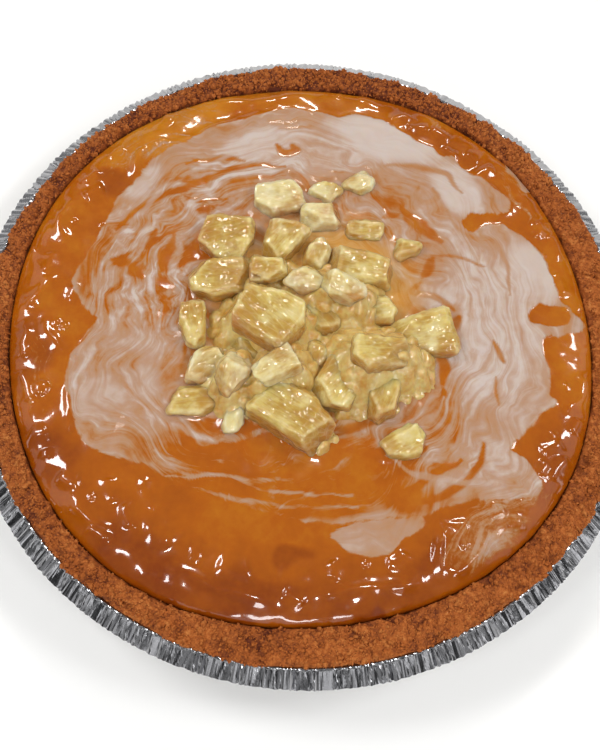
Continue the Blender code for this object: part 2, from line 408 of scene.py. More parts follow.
def even_disc(rings: int) -> tuple[np.ndarray, list[tuple[int, int, int]]]:
    """An even net of triangles over a disc, from rings of six points more each.

    Args:
        rings: how many rings.

    Returns:
        Its points as shares of the radius, and its faces.
    """
    places = [(0.0, 0.0)]
    starts = [0]
    for ring in range(1, rings + 1):
        starts.append(len(places))
        for step in range(6 * ring):
            angle = FULL_TURN * step / (6 * ring)
            reach = ring / rings
            places.append((reach * math.cos(angle), reach * math.sin(angle)))
    faces = [(0, 1 + step, 1 + (step + 1) % 6) for step in range(6)]
    for ring in range(1, rings):
        inner, outer = 6 * ring, 6 * (ring + 1)
        for side in range(6):
            for step in range(ring + 1):
                a = starts[ring] + (side * ring + step) % inner
                b = starts[ring + 1] + (side * (ring + 1) + step) % outer
                c = starts[ring + 1] + (side * (ring + 1) + step + 1) % outer
                faces.append((a, b, c))
                if step < ring:
                    faces.append((a, c, starts[ring] + (side * ring + step + 1) % inner))
    return np.array(places), faces


def foot_hulls(chunks: Iterable[Object]) -> list[np.ndarray]:
    """The outline of each chunk's foot, for the chunks that lie on the cake.

    Args:
        chunks: the fruit's CAD nodes.

    Returns:
        The corners of each outline as rows, in millimetres.
    """
    hulls = []
    for chunk in chunks:
        corners = points_of(chunk.data) / MM
        foot = corners[:, 2].min()
        if foot > 31:
            continue
        low = corners[corners[:, 2] < foot + 6][:, :2]
        hulls.append(low[geometry.convex_hull_2d([Vector(corner) for corner in low])])
    return hulls


def foot_distance(places: np.ndarray, hulls: list[np.ndarray], reach: float = 40.0) -> np.ndarray:
    """How far each place is from the nearest chunk's foot, 0 under a chunk.

    Args:
        places: rows of x and y, in millimetres.
        hulls: the outlines of the feet.
        reach: the largest distance that is told, in millimetres.

    Returns:
        One distance for each place, in millimetres.
    """
    nearest = np.full(len(places), reach)
    for hull in hulls:
        near = near_line(places, hull, reach)
        away = np.clip(-outline_distance(places[near], hull), 0.0, None)
        nearest[near] = np.minimum(nearest[near], away)
    return nearest


# Finishes


@dataclass(frozen=True)
class CrinkledFoil:
    """Thin bright aluminium foil, crinkled by the press that pleats it."""

    metal: str = "A2A2A5"
    roughness: float = 0.17

    def make(self) -> Material:
        """The foil's material."""
        material, add, shader = blank_material("aluminium_foil")
        place = add("ShaderNodeTexCoord", out="Object")
        # Fine crinkles of about 2 mm, and rolling marks a tenth of that.
        crinkles = add(NOISE, {"Vector": place, "Scale": 450, "Detail": 4, "Roughness": FINENESS})
        marks = add(NOISE, {"Vector": place, "Scale": 2600, "Detail": 2, "Roughness": FINENESS})
        both = add(MATH, (marks, 0.2, crinkles), operation="MULTIPLY_ADD")
        bump = add(BUMP, {"Strength": 0.16, "Distance": 0.25 * MM, "Height": both})
        rough = add(MATH, (crinkles, 0.18, self.roughness - 0.09), operation="MULTIPLY_ADD")
        values = {
            "Base Color": linear(self.metal),
            "Metallic": 1.0,
            "Roughness": rough,
            "Normal": bump,
        }
        fill_inputs(shader, values)
        return material


@dataclass(frozen=True)
class BakedCrumb:
    """Ginger-brown biscuit crumbs, pressed and baked, dull and open."""

    dark: str = "521E05"
    middle: str = "A45820"
    light: str = "C88444"

    def make(self) -> Material:
        """The crumbs' material, with painted shade where the attribute depth is low: creases, pits, the far
        side.
        """
        material, add, shader = blank_material("baked_biscuit_crumb")
        place = add("ShaderNodeTexCoord", out="Object")
        # Grains of under a millimetre, clumps of 3 mm and baked patches of 20 mm.
        grains = add(NOISE, {"Vector": place, "Scale": 1500, "Detail": 3, "Roughness": FINENESS})
        clumps = add(NOISE, {"Vector": place, "Scale": 320, "Detail": 2, "Roughness": FINENESS})
        patches = add(NOISE, {"Vector": place, "Scale": 50, "Detail": 1, "Roughness": FINENESS})
        depth = add(ATTRIBUTE, out="Fac", attribute_name="depth")
        tone = add(MATH, (grains, 0.75, -0.3), operation="MULTIPLY_ADD")
        tone = add(MATH, (clumps, 0.5, tone), operation="MULTIPLY_ADD")
        tone = add(MATH, (patches, 0.35, tone), operation="MULTIPLY_ADD")
        tone = add(MATH, (tone, -0.35), operation="ADD")
        # Painted shade: a low depth darkens the creases, the pits and the crown's far and left side.
        tone = add(MATH, (depth, 0.5, tone), operation="MULTIPLY_ADD", use_clamp=True)
        colour = add(RAMP, (tone,), stops=((0.0, self.dark), (0.5, self.middle), (1.0, self.light)))
        bump = add(BUMP, {"Strength": 0.8, "Distance": 0.35 * MM, "Height": grains})
        values = {
            "Base Color": colour,
            "Normal": bump,
            "Roughness": 0.82,
            "Specular IOR Level": 0.3,
        }
        fill_inputs(shader, values)
        return material


@dataclass(frozen=True)
class GlazedTop:
    """Baked cream cheese under clear syrup, with milky icing streaked through the syrup."""

    baked_pale: str = "BF7C16"
    baked: str = "A65604"
    baked_dark: str = "783000"
    stained_icing: str = "AA702E"
    thin_icing: str = "A97A52"
    icing: str = "AB8870"
    thick_icing: str = "BFB0A7"
    juice: str = "CB9A4C"
    roughness: float = 0.2

    def make(self) -> Material:
        """The top's material, which reads how the top lays out its icing and its baking."""
        material, add, shader = blank_material("glazed_cheese_and_icing")
        flow = add(ATTRIBUTE, out="Vector", attribute_name="flow")
        place = add("ShaderNodeTexCoord", out="Object")
        edge = add(ATTRIBUTE, out="Fac", attribute_name="icing_edge")
        body = add(ATTRIBUTE, out="Fac", attribute_name="icing_body")
        streaky = add(ATTRIBUTE, out="Fac", attribute_name="icing_streaks")
        bake = add(ATTRIBUTE, out="Fac", attribute_name="bake")
        broad = add(NOISE, {"Vector": flow, "Scale": 0.45, "Detail": 3, "Roughness": FINENESS})
        broad = add(MATH, (broad, -0.5), operation="ADD")
        fine = add(NOISE, {"Vector": flow, "Scale": 1.3, "Detail": 4, "Roughness": FINENESS})
        fine = add(MATH, (fine, -0.5), operation="ADD")
        # Marbling: thin lines that follow the contours of a slow noise.
        folds = add(NOISE, {"Vector": flow, "Scale": 0.3, "Detail": 2, "Roughness": FINENESS})
        folds = add(MATH, (folds, 46.0), operation="MULTIPLY")
        folds = add(MATH, (folds,), operation="SINE")
        # The icing's edge is drawn out in short fibres, about half a millimetre deep.
        ragged = add(MATH, (fine, 1.8, edge), operation="MULTIPLY_ADD")
        fibres = add(NOISE, {"Vector": place, "Scale": 700, "Detail": 3, "Roughness": FINENESS})
        fibres = add(MATH, (fibres, 0.9, -0.45), operation="MULTIPLY_ADD")
        ragged = add(MATH, (ragged, fibres), operation="ADD")
        inputs = {"Value": ragged, "From Min": -0.45, "From Max": 0.65}
        cover = add(RANGE, inputs, interpolation_type="SMOOTHSTEP")
        streaks = add(MATH, (broad, 4.5), operation="MULTIPLY")
        streaks = add(MATH, (fine, 3.2, streaks), operation="MULTIPLY_ADD")
        streaks = add(MATH, (folds, 0.17, streaks), operation="MULTIPLY_ADD")
        curds = add(NOISE, {"Vector": place, "Scale": 260, "Detail": 3, "Roughness": FINENESS})
        curds = add(MATH, (curds, 1.6, -0.8), operation="MULTIPLY_ADD")
        streaks = add(MATH, (streaks, curds), operation="ADD")
        thick = add(MATH, (streaks, streaky, body), operation="MULTIPLY_ADD", use_clamp=True)
        thick = add(MATH, (thick, cover), operation="MULTIPLY")
        # Where the oven browned the skin, in patches of 12 mm and freckles of 2 mm.
        patches = add(NOISE, {"Vector": place, "Scale": 85, "Detail": 2, "Roughness": FINENESS})
        freckles = add(NOISE, {"Vector": place, "Scale": 450, "Detail": 3, "Roughness": FINENESS})
        brown = add(MATH, (bake, -0.35), operation="ADD")
        brown = add(MATH, (patches, 0.5, brown), operation="MULTIPLY_ADD")
        brown = add(MATH, (freckles, 0.24, brown), operation="MULTIPLY_ADD", use_clamp=True)
        skin = add(RAMP, (brown,), stops=((0.0, self.baked_pale), (0.45, self.baked), (1.0, self.baked_dark)))
        stops = (
            (0.05, self.stained_icing), (0.35, self.thin_icing), (0.62, self.icing), (1.0, self.thick_icing)
        )
        milk = add(RAMP, (thick,), stops=stops)
        veil = add(RANGE, {"Value": thick, "From Min": 0.04, "From Max": 0.42})
        juice = add(ATTRIBUTE, out="Fac", attribute_name="juice")
        colour = add(MIX, {0: veil, 6: skin, 7: milk}, 2, data_type="RGBA")
        colour = add(MIX, {0: juice, 6: colour, 7: linear(self.juice)}, 2, data_type="RGBA")
        # Icing dries duller than the syrup.
        shine = add(MATH, (thick, -2.0, 1.0), operation="MULTIPLY_ADD", use_clamp=True)
        rough = add(MATH, (thick, 0.3, self.roughness), operation="MULTIPLY_ADD")
        wobble = add(NOISE, {"Vector": place, "Scale": 330, "Detail": 1, "Roughness": FINENESS})
        bump = add(BUMP, {"Strength": 0.4, "Distance": 0.15 * MM, "Height": wobble})
        values = {
            "Base Color": colour,
            "Coat Weight": shine,
            "Roughness": rough,
            "Normal": bump,
            "Coat Normal": bump,
            "Coat Roughness": 0.06,
            "Coat IOR": 1.55,
            "Specular IOR Level": 0.12,
            "Subsurface Weight": 0.2,
            "Subsurface Radius": (1.0, 0.4, 0.12),
            "Subsurface Scale": 2.5 * MM,
        }
        fill_inputs(shader, values)
        return material


@dataclass(frozen=True)
class CitrusFlesh:
    """Wet citrus flesh: pale yellow juice cells in whitish skins, with painted amber shade on sides and low
    parts.
    """

    amber: str = "AA7226"
    flesh: str = "B4903E"
    bright: str = "CDB86E"
    skins: str = "DAD2B0"
    depth: float = 6.0 * MM

    def make(self) -> Material:
        """The flesh's material, which follows each chunk's own grain."""
        material, add, shader = blank_material("citrus_flesh")
        grain = add(ATTRIBUTE, out="Vector", attribute_name="grain")
        pale = add(ATTRIBUTE, out="Fac", attribute_name="pale")
        edges = add(ATTRIBUTE, out="Fac", attribute_name="edges")
        inside = add(ATTRIBUTE, out="Fac", attribute_name="inside")
        glow = add(ATTRIBUTE, out="Fac", attribute_name="glow")
        place = add("ShaderNodeTexCoord", out="Object")
        # Juice cells about 1.5 mm wide and 6 mm long, as the grain is drawn out along the chunk.
        inputs = {"Vector": grain, "Scale": 0.62, "Randomness": 0.9}
        cells = add("ShaderNodeTexVoronoi", inputs, "Distance", feature="DISTANCE_TO_EDGE")
        fibres = add(NOISE, {"Vector": grain, "Scale": 1.3, "Detail": 3, "Roughness": FINENESS})
        clouds = add(NOISE, {"Vector": place, "Scale": 130, "Detail": 3, "Roughness": FINENESS})
        walls = {"Value": cells, "From Min": 0.0, "From Max": 0.12, "To Min": 0.14, "To Max": 0.0}
        skins = add(RANGE, walls)
        tone = add(MATH, (clouds, 1.5, -0.4), operation="MULTIPLY_ADD")
        tone = add(MATH, (fibres, 0.6, tone), operation="MULTIPLY_ADD")
        # Painted shade: the sides and sunk parts of each chunk, which the attribute inside names, turn amber.
        tone = add(MATH, (inside, -0.5, tone), operation="MULTIPLY_ADD")
        tone = add(MATH, (glow, 0.28, tone), operation="MULTIPLY_ADD")
        colour = add(RAMP, (tone,), stops=((0.0, self.amber), (0.55, self.flesh), (0.85, self.bright)))
        colour = add(MIX, {0: skins, 6: colour, 7: linear(self.skins)}, 2, data_type="RGBA")
        # The cut edges are thin and catch the light, so they look whiter, and so do clouds of white skin.
        whiter = add(MATH, (pale, -1.6), operation="ADD")
        whiter = add(MATH, (clouds, 2.6, whiter), operation="MULTIPLY_ADD", use_clamp=True)
        rims = add(MATH, (edges, edges), operation="MULTIPLY")
        rims = add(MATH, (rims, clouds), operation="MULTIPLY")
        whiter = add(MATH, (whiter, 0.75), operation="MULTIPLY")
        whiter = add(MATH, (rims, 0.4, whiter), operation="MULTIPLY_ADD", use_clamp=True)
        relief = add(MATH, (cells, 0.15), operation="MINIMUM")
        relief = add(MATH, (fibres, 0.3, relief), operation="MULTIPLY_ADD")
        bump = add(BUMP, {"Strength": 0.6, "Distance": 0.4 * MM, "Height": relief})
        # The film of juice over the cells stands in beads of 2 mm, and glitters.
        beads = add(NOISE, {"Vector": place, "Scale": 480, "Detail": 0, "Roughness": FINENESS})
        glints = add(BUMP, {"Strength": 1.0, "Distance": 0.8 * MM, "Height": beads})
        values = {
            "Base Color": add(MIX, {0: whiter, 6: colour, 7: linear(self.skins)}, 2, data_type="RGBA"),
            "Normal": bump,
            "Coat Normal": glints,
            "Roughness": 0.3,
            "Coat Weight": 1.0,
            "Coat Roughness": 0.05,
            "Specular IOR Level": 0.3,
            "Subsurface Weight": 1.0,
            "Subsurface Radius": (1.0, 0.85, 0.45),
            "Subsurface Scale": self.depth,
        }
        fill_inputs(shader, values)
        return material


@dataclass(frozen=True)
class SoakedPulp:
    """Loose juice cells, soaked in amber syrup that gathers between the chunks."""

    syrup: str = "BE8C38"
    cloudy: str = "D0B872"

    def make(self) -> Material:
        """The pulp's material."""
        material, add, shader = blank_material("syrup_soaked_pulp")
        place = add("ShaderNodeTexCoord", out="Object")
        # Milky clouds of 6 mm, and cells of 1.5 mm under the film of syrup.
        clouds = add(NOISE, {"Vector": place, "Scale": 170, "Detail": 3, "Roughness": FINENESS})
        cells = add(NOISE, {"Vector": place, "Scale": 600, "Detail": 2, "Roughness": FINENESS})
        tone = add(MATH, (clouds, 0.9), operation="MULTIPLY")
        tone = add(MATH, (cells, 0.5, tone), operation="MULTIPLY_ADD")
        colour = add(RAMP, (tone,), stops=((0.5, self.syrup), (0.85, self.cloudy)))
        bump = add(BUMP, {"Strength": 0.7, "Distance": 0.5 * MM, "Height": cells})
        film = add(NOISE, {"Vector": place, "Scale": 420, "Detail": 0, "Roughness": FINENESS})
        glints = add(BUMP, {"Strength": 1.0, "Distance": 0.8 * MM, "Height": film})
        values = {
            "Base Color": colour,
            "Normal": bump,
            "Coat Normal": glints,
            "Roughness": 0.3,
            "Coat Weight": 1.0,
            "Coat Roughness": 0.06,
            "Subsurface Weight": 0.5,
            "Subsurface Radius": (1.0, 0.6, 0.2),
            "Subsurface Scale": 2.0 * MM,
        }
        fill_inputs(shader, values)
        return material


@dataclass(frozen=True)
class PalePaper:
    """A plain white studio sheet."""

    white: str = "F6F6F5"

    def make(self) -> Material:
        """The sheet's material."""
        material, _, shader = blank_material("white_studio_sheet")
        values = {
            "Base Color": linear(self.white),
            "Roughness": 0.7,
        }
        fill_inputs(shader, values)
        return material


# Pieces


@dataclass
class FoilTin:
    """The round foil tin, with its rolled lip and its irregular pleats."""

    tin_radius: float = 118.0 * MM
    lip_radius: float = 112.2 * MM
    lip_height: float = 28.0 * MM
    lip_fold: float = 1.7 * MM
    skirt_drop: float = 3.8 * MM
    base_radius: float = 86.0 * MM
    base_corner: float = 3.0 * MM
    foil: float = 0.22 * MM
    pleats: int = 288
    pleat_steps: int = 6
    skirt_pleat: float = 0.34 * MM
    wall_pleat: float = 0.2 * MM
    wander: float = 15.0
    slant: float = 2.6
    dents: float = 1.6 * MM
    deepest: float = 0.6 * MM
    seed: float = 3.7

    def between(self, start: Point, end: Point, parts: Sequence[float]) -> list[Point]:
        """Points on the straight line from start to end, at these shares of it."""
        return [
            (start[0] + (end[0] - start[0]) * part, start[1] + (end[1] - start[1]) * part) for part in parts
        ]

    def profile(self) -> list[Point]:
        """The tin's section as radius and height, from the middle of its base out to the skirt's edge."""
        foot = (self.base_radius + self.base_corner, self.base_corner)
        head = (self.lip_radius - self.lip_fold, self.lip_height - self.lip_fold)
        line = [(0.0, 0.0), (self.base_radius * 0.5, 0.0), (self.base_radius, 0.0), foot]
        line += self.between(foot, head, (0.2, 0.4, 0.6, 0.8, 0.93))
        bead = self.lip_fold * 0.17
        for turn in (150, 110, 70, 30):
            angle = math.radians(turn)
            across = self.lip_radius + bead * math.cos(angle)
            line.append((across, self.lip_height - bead + bead * math.sin(angle)))
        start = (self.lip_radius + bead * 1.4, self.lip_height - bead * 1.7)
        end = (self.tin_radius, self.lip_height - self.skirt_drop)
        return line + self.between(start, end, (0.0, 0.2, 0.4, 0.6, 0.8, 1.0))

    def sheet(self) -> Object:
        """The tin as a plain turned sheet that faces upwards, with how strongly each part is pleated."""
        steps = self.pleats * self.pleat_steps
        profile = self.profile()
        angles = np.arange(steps) * FULL_TURN / steps
        rings = [np.array([[0.0, 0.0, 0.0]])]
        rings += [ring_rows(radius, angles, height) for radius, height in profile[1:]]
        faces: list[tuple[int, ...]] = [(0, 1 + j, 1 + (j + 1) % steps) for j in range(steps)]
        for i in range(len(rings) - 2):
            faces += ring_faces(1 + i * steps, 1 + (i + 1) * steps, steps)
        made = mesh_object("foil_tin_sheet", np.vstack(rings), faces)
        points = points_of(made.data)
        radius = np.hypot(points[:, 0], points[:, 1])
        skirt = share(radius, self.lip_radius - 0.5 * MM, self.lip_radius + 0.6 * MM)
        wall = share(points[:, 2], 0.5 * MM, 8 * MM) * share(self.lip_radius - radius, 0.0, 2 * MM)
        store(made.data, "pleating", skirt * self.skirt_pleat + wall * self.wall_pleat)
        store(made.data, "outward", np.clip(radius - self.lip_radius, 0.0, None) / MM)
        return made

    def pleat_tree(self) -> NodeTree:
        """The geometry tree that folds a turned sheet into pleats of uneven width, depth and slant."""
        inputs = {
            "Pleats": ("NodeSocketInt", 288),
            "Wander": ("NodeSocketFloat", 1.5),
            "Slant": ("NodeSocketFloat", 0.5),
            "Dents": ("NodeSocketFloat", 0.0005),
            "Seed": ("NodeSocketFloat", 0.0),
            "Foil": ("NodeSocketMaterial", None),
        }
        tree, given = geometry_tree("foil_pleats", inputs)
        add = partial(add_node, tree)
        place = add("GeometryNodeInputPosition")
        parts = add("ShaderNodeSeparateXYZ", {0: place}).node.outputs
        angle = add(MATH, (parts[1], parts[0]), operation="ARCTAN2")
        round_x = add(MATH, (angle,), operation="COSINE")
        round_y = add(MATH, (angle,), operation="SINE")
        rim = add("ShaderNodeCombineXYZ", {0: round_x, 1: round_y, 2: given["Seed"]})
        outward = add("GeometryNodeInputNamedAttribute", {"Name": "outward"})
        depth = add("GeometryNodeInputNamedAttribute", {"Name": "pleating"})
        wander = add(NOISE, {"Vector": rim, "Scale": 14, "Detail": 2, "Roughness": FINENESS})
        wander = add(MATH, (wander, 0.5), operation="SUBTRACT")
        slant = add(NOISE, {"Vector": rim, "Scale": 26, "Detail": 1, "Roughness": FINENESS})
        slant = add(MATH, (slant, 0.5), operation="SUBTRACT")
        slant = add(MATH, (slant, given["Slant"]), operation="MULTIPLY")
        slant = add(MATH, (slant, outward), operation="MULTIPLY")
        phase = add(MATH, (angle, given["Pleats"]), operation="MULTIPLY")
        phase = add(MATH, (wander, given["Wander"], phase), operation="MULTIPLY_ADD")
        phase = add(MATH, (phase, slant), operation="ADD")
        fold = add(MATH, (phase, math.pi), operation="DIVIDE")
        fold = add(MATH, (fold, 1.0), operation="PINGPONG")
        fold = add(MATH, (fold, 2.0, -1.0), operation="MULTIPLY_ADD")
        uneven = add(NOISE, {"Vector": rim, "Scale": 34, "Detail": 3, "Roughness": FINENESS})
        uneven = add(MATH, (uneven, 4.5, -1.35), operation="MULTIPLY_ADD")
        uneven = add(MATH, (uneven, 0.04), operation="MAXIMUM")
        uneven = add(MATH, (uneven, 1.5), operation="MINIMUM")
        fold = add(MATH, (fold, uneven), operation="MULTIPLY")
        fold = add(MATH, (fold, depth), operation="MULTIPLY")
        # Dents are shallow bends of the whole rim, and fade out towards the base.
        high = add(MATH, (parts[2], -8 * MM), operation="ADD")
        high = add(MATH, (high, 50.0), operation="MULTIPLY", use_clamp=True)
        dent = add(NOISE, {"Vector": rim, "Scale": 7, "Detail": 3, "Roughness": FINENESS})
        dent = add(MATH, (dent, 0.5), operation="SUBTRACT")
        dent = add(MATH, (dent, given["Dents"]), operation="MULTIPLY")
        dent = add(MATH, (dent, high), operation="MULTIPLY")
        move = add(MATH, (fold, dent), operation="ADD")
        move = add(MATH, (move, self.deepest), operation="MINIMUM")
        normal = add("GeometryNodeInputNormal")
        offset = add("ShaderNodeVectorMath", {0: normal, "Scale": move}, operation="SCALE")
        moved = add("GeometryNodeSetPosition", {"Geometry": given[0], "Offset": offset})
        end_tree(tree, moved, given["Foil"])
        return tree

    def build(self, finish: Material) -> Object:
        """Builds the tin.

        Args:
            finish: its foil.

        Returns:
            The finished piece.
        """
        sheet = self.sheet()
        values = {
            "Pleats": self.pleats,
            "Wander": self.wander,
            "Slant": self.slant,
            "Dents": self.dents,
            "Seed": self.seed,
            "Foil": finish,
        }
        use_nodes(sheet, self.pleat_tree(), values)
        tin = plain_copy(sheet, "foil_tin_pleated")
        tin.data.shade_flat()
        wall = tin.modifiers.new("foil", "SOLIDIFY")
        wall.thickness = self.foil
        wall.offset = 1.0
        place_piece(tin, "foil", "foil_tin")
        return tin


@dataclass
class CakeShape:
    """The cake's measures, which its top, its crust and its glaze share."""

    radius: float = 101.8 * MM
    edge_height: float = 26.6 * MM
    shoulder_rise: float = 4.6 * MM
    shoulder_width: float = 9.5 * MM
    middle_height: float = 28.2 * MM
    middle_reach: float = 48.0 * MM
    wave_height: float = 1.0 * MM
    wave_spacing: float = 15.0 * MM
    swells: tuple[tuple[float, int, float], ...] = ((1.8 * MM, 1, 160.0), (1.3 * MM, 4, 57.0))

    def edge(self, angle: np.ndarray) -> np.ndarray:
        """The radius of the cake's edge in the direction of each angle."""
        grown = sum(high * np.cos(turns * (angle - math.radians(way))) for high, turns, way in self.swells)
        return self.radius + grown

    def fitted(self, x: np.ndarray, y: np.ndarray) -> tuple[np.ndarray, np.ndarray]:
        """Points of the round cake moved so that its edge is at the uneven one."""
        radius, angle = np.hypot(x, y), np.arctan2(y, x)
        moved = radius * self.edge(angle) / self.radius
        return moved * np.cos(angle), moved * np.sin(angle)

    def height(self, x: np.ndarray, y: np.ndarray) -> np.ndarray:
        """The height of the cake's baked skin at points of the round cake.

        Args:
            x: how far each is to the right.
            y: how far each is away.

        Returns:
            One height for each point.
        """
        radius = np.hypot(x, y)
        inward = self.radius - radius
        slope = np.clip(inward / self.shoulder_width, 0.0, 1.0)
        shoulder = self.edge_height + self.shoulder_rise * np.sqrt(1 - (1 - slope) ** 2)
        sink = share(inward, self.shoulder_width, self.middle_reach)
        strength = 0.3 + 0.7 * share(radius, 45 * MM, 80 * MM)
        fade = 1 - share(radius, self.radius - self.shoulder_width, self.radius)
        waves = self.wave_height * strength * fade * noise_at(np.column_stack([x, y]), self.wave_spacing)
        return shoulder + (self.middle_height - shoulder) * sink + waves


@dataclass
class CrumbCrust:
    """The bowl of pressed crumbs, rough with crags, lumps and creases on its crown."""

    shape: CakeShape
    steps: int = 1500
    crown_steps: int = 26
    outer_wall: Path = ((0.0, 0.9), (83.8, 0.9), (88.1, 4), (98.7, 16), (107.0, 24.5))
    inner_wall: Path = ((102.2, 25.1), (91.2, 15), (81.9, 6.9), (0.0, 6.9))
    crown_foot: float = 27.2 * MM
    crown_height: float = 30.4 * MM
    crown_inside: float = 102.4 * MM
    crown_outside: float = 111.7 * MM
    crag: float = 1.0 * MM
    crag_spacing: float = 5.5 * MM
    lump: float = 0.62 * MM
    lump_spacing: float = 2.3 * MM
    grit: float = 0.3 * MM
    grit_spacing: float = 1.1 * MM

    def profile(self) -> list[tuple[float, float, float]]:
        """The closed section as radius, height and how rough it is, from the underside's middle round."""
        line = [(radius * MM, height * MM, 0.0) for radius, height in self.outer_wall]
        line.append((109.4 * MM, 26.4 * MM, 0.2))
        middle = (self.crown_inside + self.crown_outside) / 2
        half = (self.crown_outside - self.crown_inside) / 2
        for step in range(self.crown_steps + 1):
            angle = math.pi * step / self.crown_steps
            rise = abs(math.sin(angle)) ** 0.6
            height = self.crown_foot + (self.crown_height - self.crown_foot) * rise
            line.append((middle + half * math.cos(angle), height, 0.35 + 0.65 * float(share(rise, 0.2, 0.8))))
        line.append((102.3 * MM, 26.2 * MM, 0.3))
        return line + [(radius * MM, height * MM, 0.0) for radius, height in self.inner_wall]

    def turned(self) -> tuple[np.ndarray, list[tuple[int, ...]], np.ndarray]:
        """The section turned about the middle.

        Returns:
            Its points, its faces, and how rough each point is.
        """
        profile = self.profile()
        angles = np.arange(self.steps) * FULL_TURN / self.steps
        rows, rough = [np.array([[0.0, 0.0, profile[0][1]]])], [np.zeros(1)]
        for radius, height, amount in profile[1:-1]:
            rows.append(ring_rows(radius, angles, height))
            rough.append(np.full(self.steps, amount))
        rows.append(np.array([[0.0, 0.0, profile[-1][1]]]))
        rough.append(np.zeros(1))
        steps, last = self.steps, 1 + (len(profile) - 2) * self.steps
        faces: list[tuple[int, ...]] = [(0, 1 + (j + 1) % steps, 1 + j) for j in range(steps)]
        for i in range(len(profile) - 3):
            outwards = ring_faces(1 + i * steps, 1 + (i + 1) * steps, steps)
            faces += [(a, d, c, b) for a, b, c, d in outwards]
        faces += [(last, last - steps + j, last - steps + (j + 1) % steps) for j in range(steps)]
        return np.vstack(rows), faces, np.concatenate(rough)

    def build(self, finish: Material) -> Object:
        """Builds the crust.

        Args:
            finish: its baked crumbs.

        Returns:
            The finished piece.
        """
        points, faces, rough = self.turned()
        radius, angle = np.hypot(points[:, 0], points[:, 1]), np.arctan2(points[:, 1], points[:, 0])
        safe = self.crown_outside - 2 * MM
        inner = 1 - share(radius, self.crown_inside, safe)
        below = points[:, 2] < self.crown_foot - 0.1 * MM
        order = np.arange(len(points)) > len(points) / 2
        inner = np.where(below, order.astype(float), inner)
        radius = radius * (1 + (self.shape.edge(angle) / self.shape.radius - 1) * inner)
        points = np.column_stack([radius * np.cos(angle), radius * np.sin(angle), points[:, 2]])
        crown = np.flatnonzero(rough > 0)
        spots = points[crown]
        crags = np.array([noise.noise_vector(Vector(spot) / self.crag_spacing) for spot in spots]) * self.crag
        bends = np.array([noise.noise_vector(Vector(spot) / (1.7 * MM)) for spot in spots]) * 0.9 * MM
        lumps = (lumps_at(spots + bends, self.lump_spacing) - 0.6) * 0.6
        lumps += noise_at(spots, 1.9 * MM, 3.0) * 0.9
        grit = lumps_at(spots + 0.3 + bends * 0.4, self.grit_spacing) - 0.6
        broken = np.clip(noise_at(spots, 4.5 * MM, 5.0) - 0.06, 0.0, 1.0)
        middle = (self.crown_inside + self.crown_outside) / 2
        out = (radius[crown] - middle) / (self.crown_outside - middle)
        lean = np.clip(out, -1.0, 1.0) * 0.8
        push = (lumps * self.lump + grit * self.grit - broken * 2.6 * MM) * rough[crown]
        sideways = crags[:, 0] * rough[crown] + push * lean
        upwards = crags[:, 2] * rough[crown] + push * np.sqrt(1 - lean**2)
        leaning = np.clip(noise_at(spots, 12 * MM, 9.0) + 0.35, 0.0, 1.0) * 1.5 * MM
        leaning = leaning * share(upwards + spots[:, 2], 27.6 * MM, 29 * MM) - np.abs(sideways) * 0.6
        sideways = np.where(radius[crown] > safe, leaning, sideways)
        facing = angle[crown]
        points[crown, 0] += sideways * np.cos(facing)
        points[crown, 1] += sideways * np.sin(facing)
        points[crown, 2] += np.clip(upwards, -2.4 * MM, 1.0 * MM)
        crust = mesh_object("crumb_crust_baked", points, faces)
        # Painted shade: depth is low in the creases and pits and high on the lumps, so the creases turn
        # darker.
        depth = np.zeros(len(points))
        # Painted shade: the crown is darker on its far side and its left, and lighter on its right.
        painted_side_shade = 0.4 * share(spots[:, 1], 30 * MM, 100 * MM) + 0.15 * share(-spots[:, 0], 40 * MM, 105 * MM)
        painted_side_shade -= 0.15 * share(spots[:, 0], 40 * MM, 105 * MM)
        depth[crown] = np.clip(0.55 + lumps * 0.7 + grit * 0.3 - broken * 0.8, 0.0, 1.0) - painted_side_shade
        store(crust.data, "depth", depth)
        store(crust.data, "crumbly", np.where(points[:, 2] > 27.6 * MM, rough, 0.0) ** 2)
        crust.data.materials.append(finish)
        place_piece(crust, "baked_crumb", "crumb_crust")
        return crust


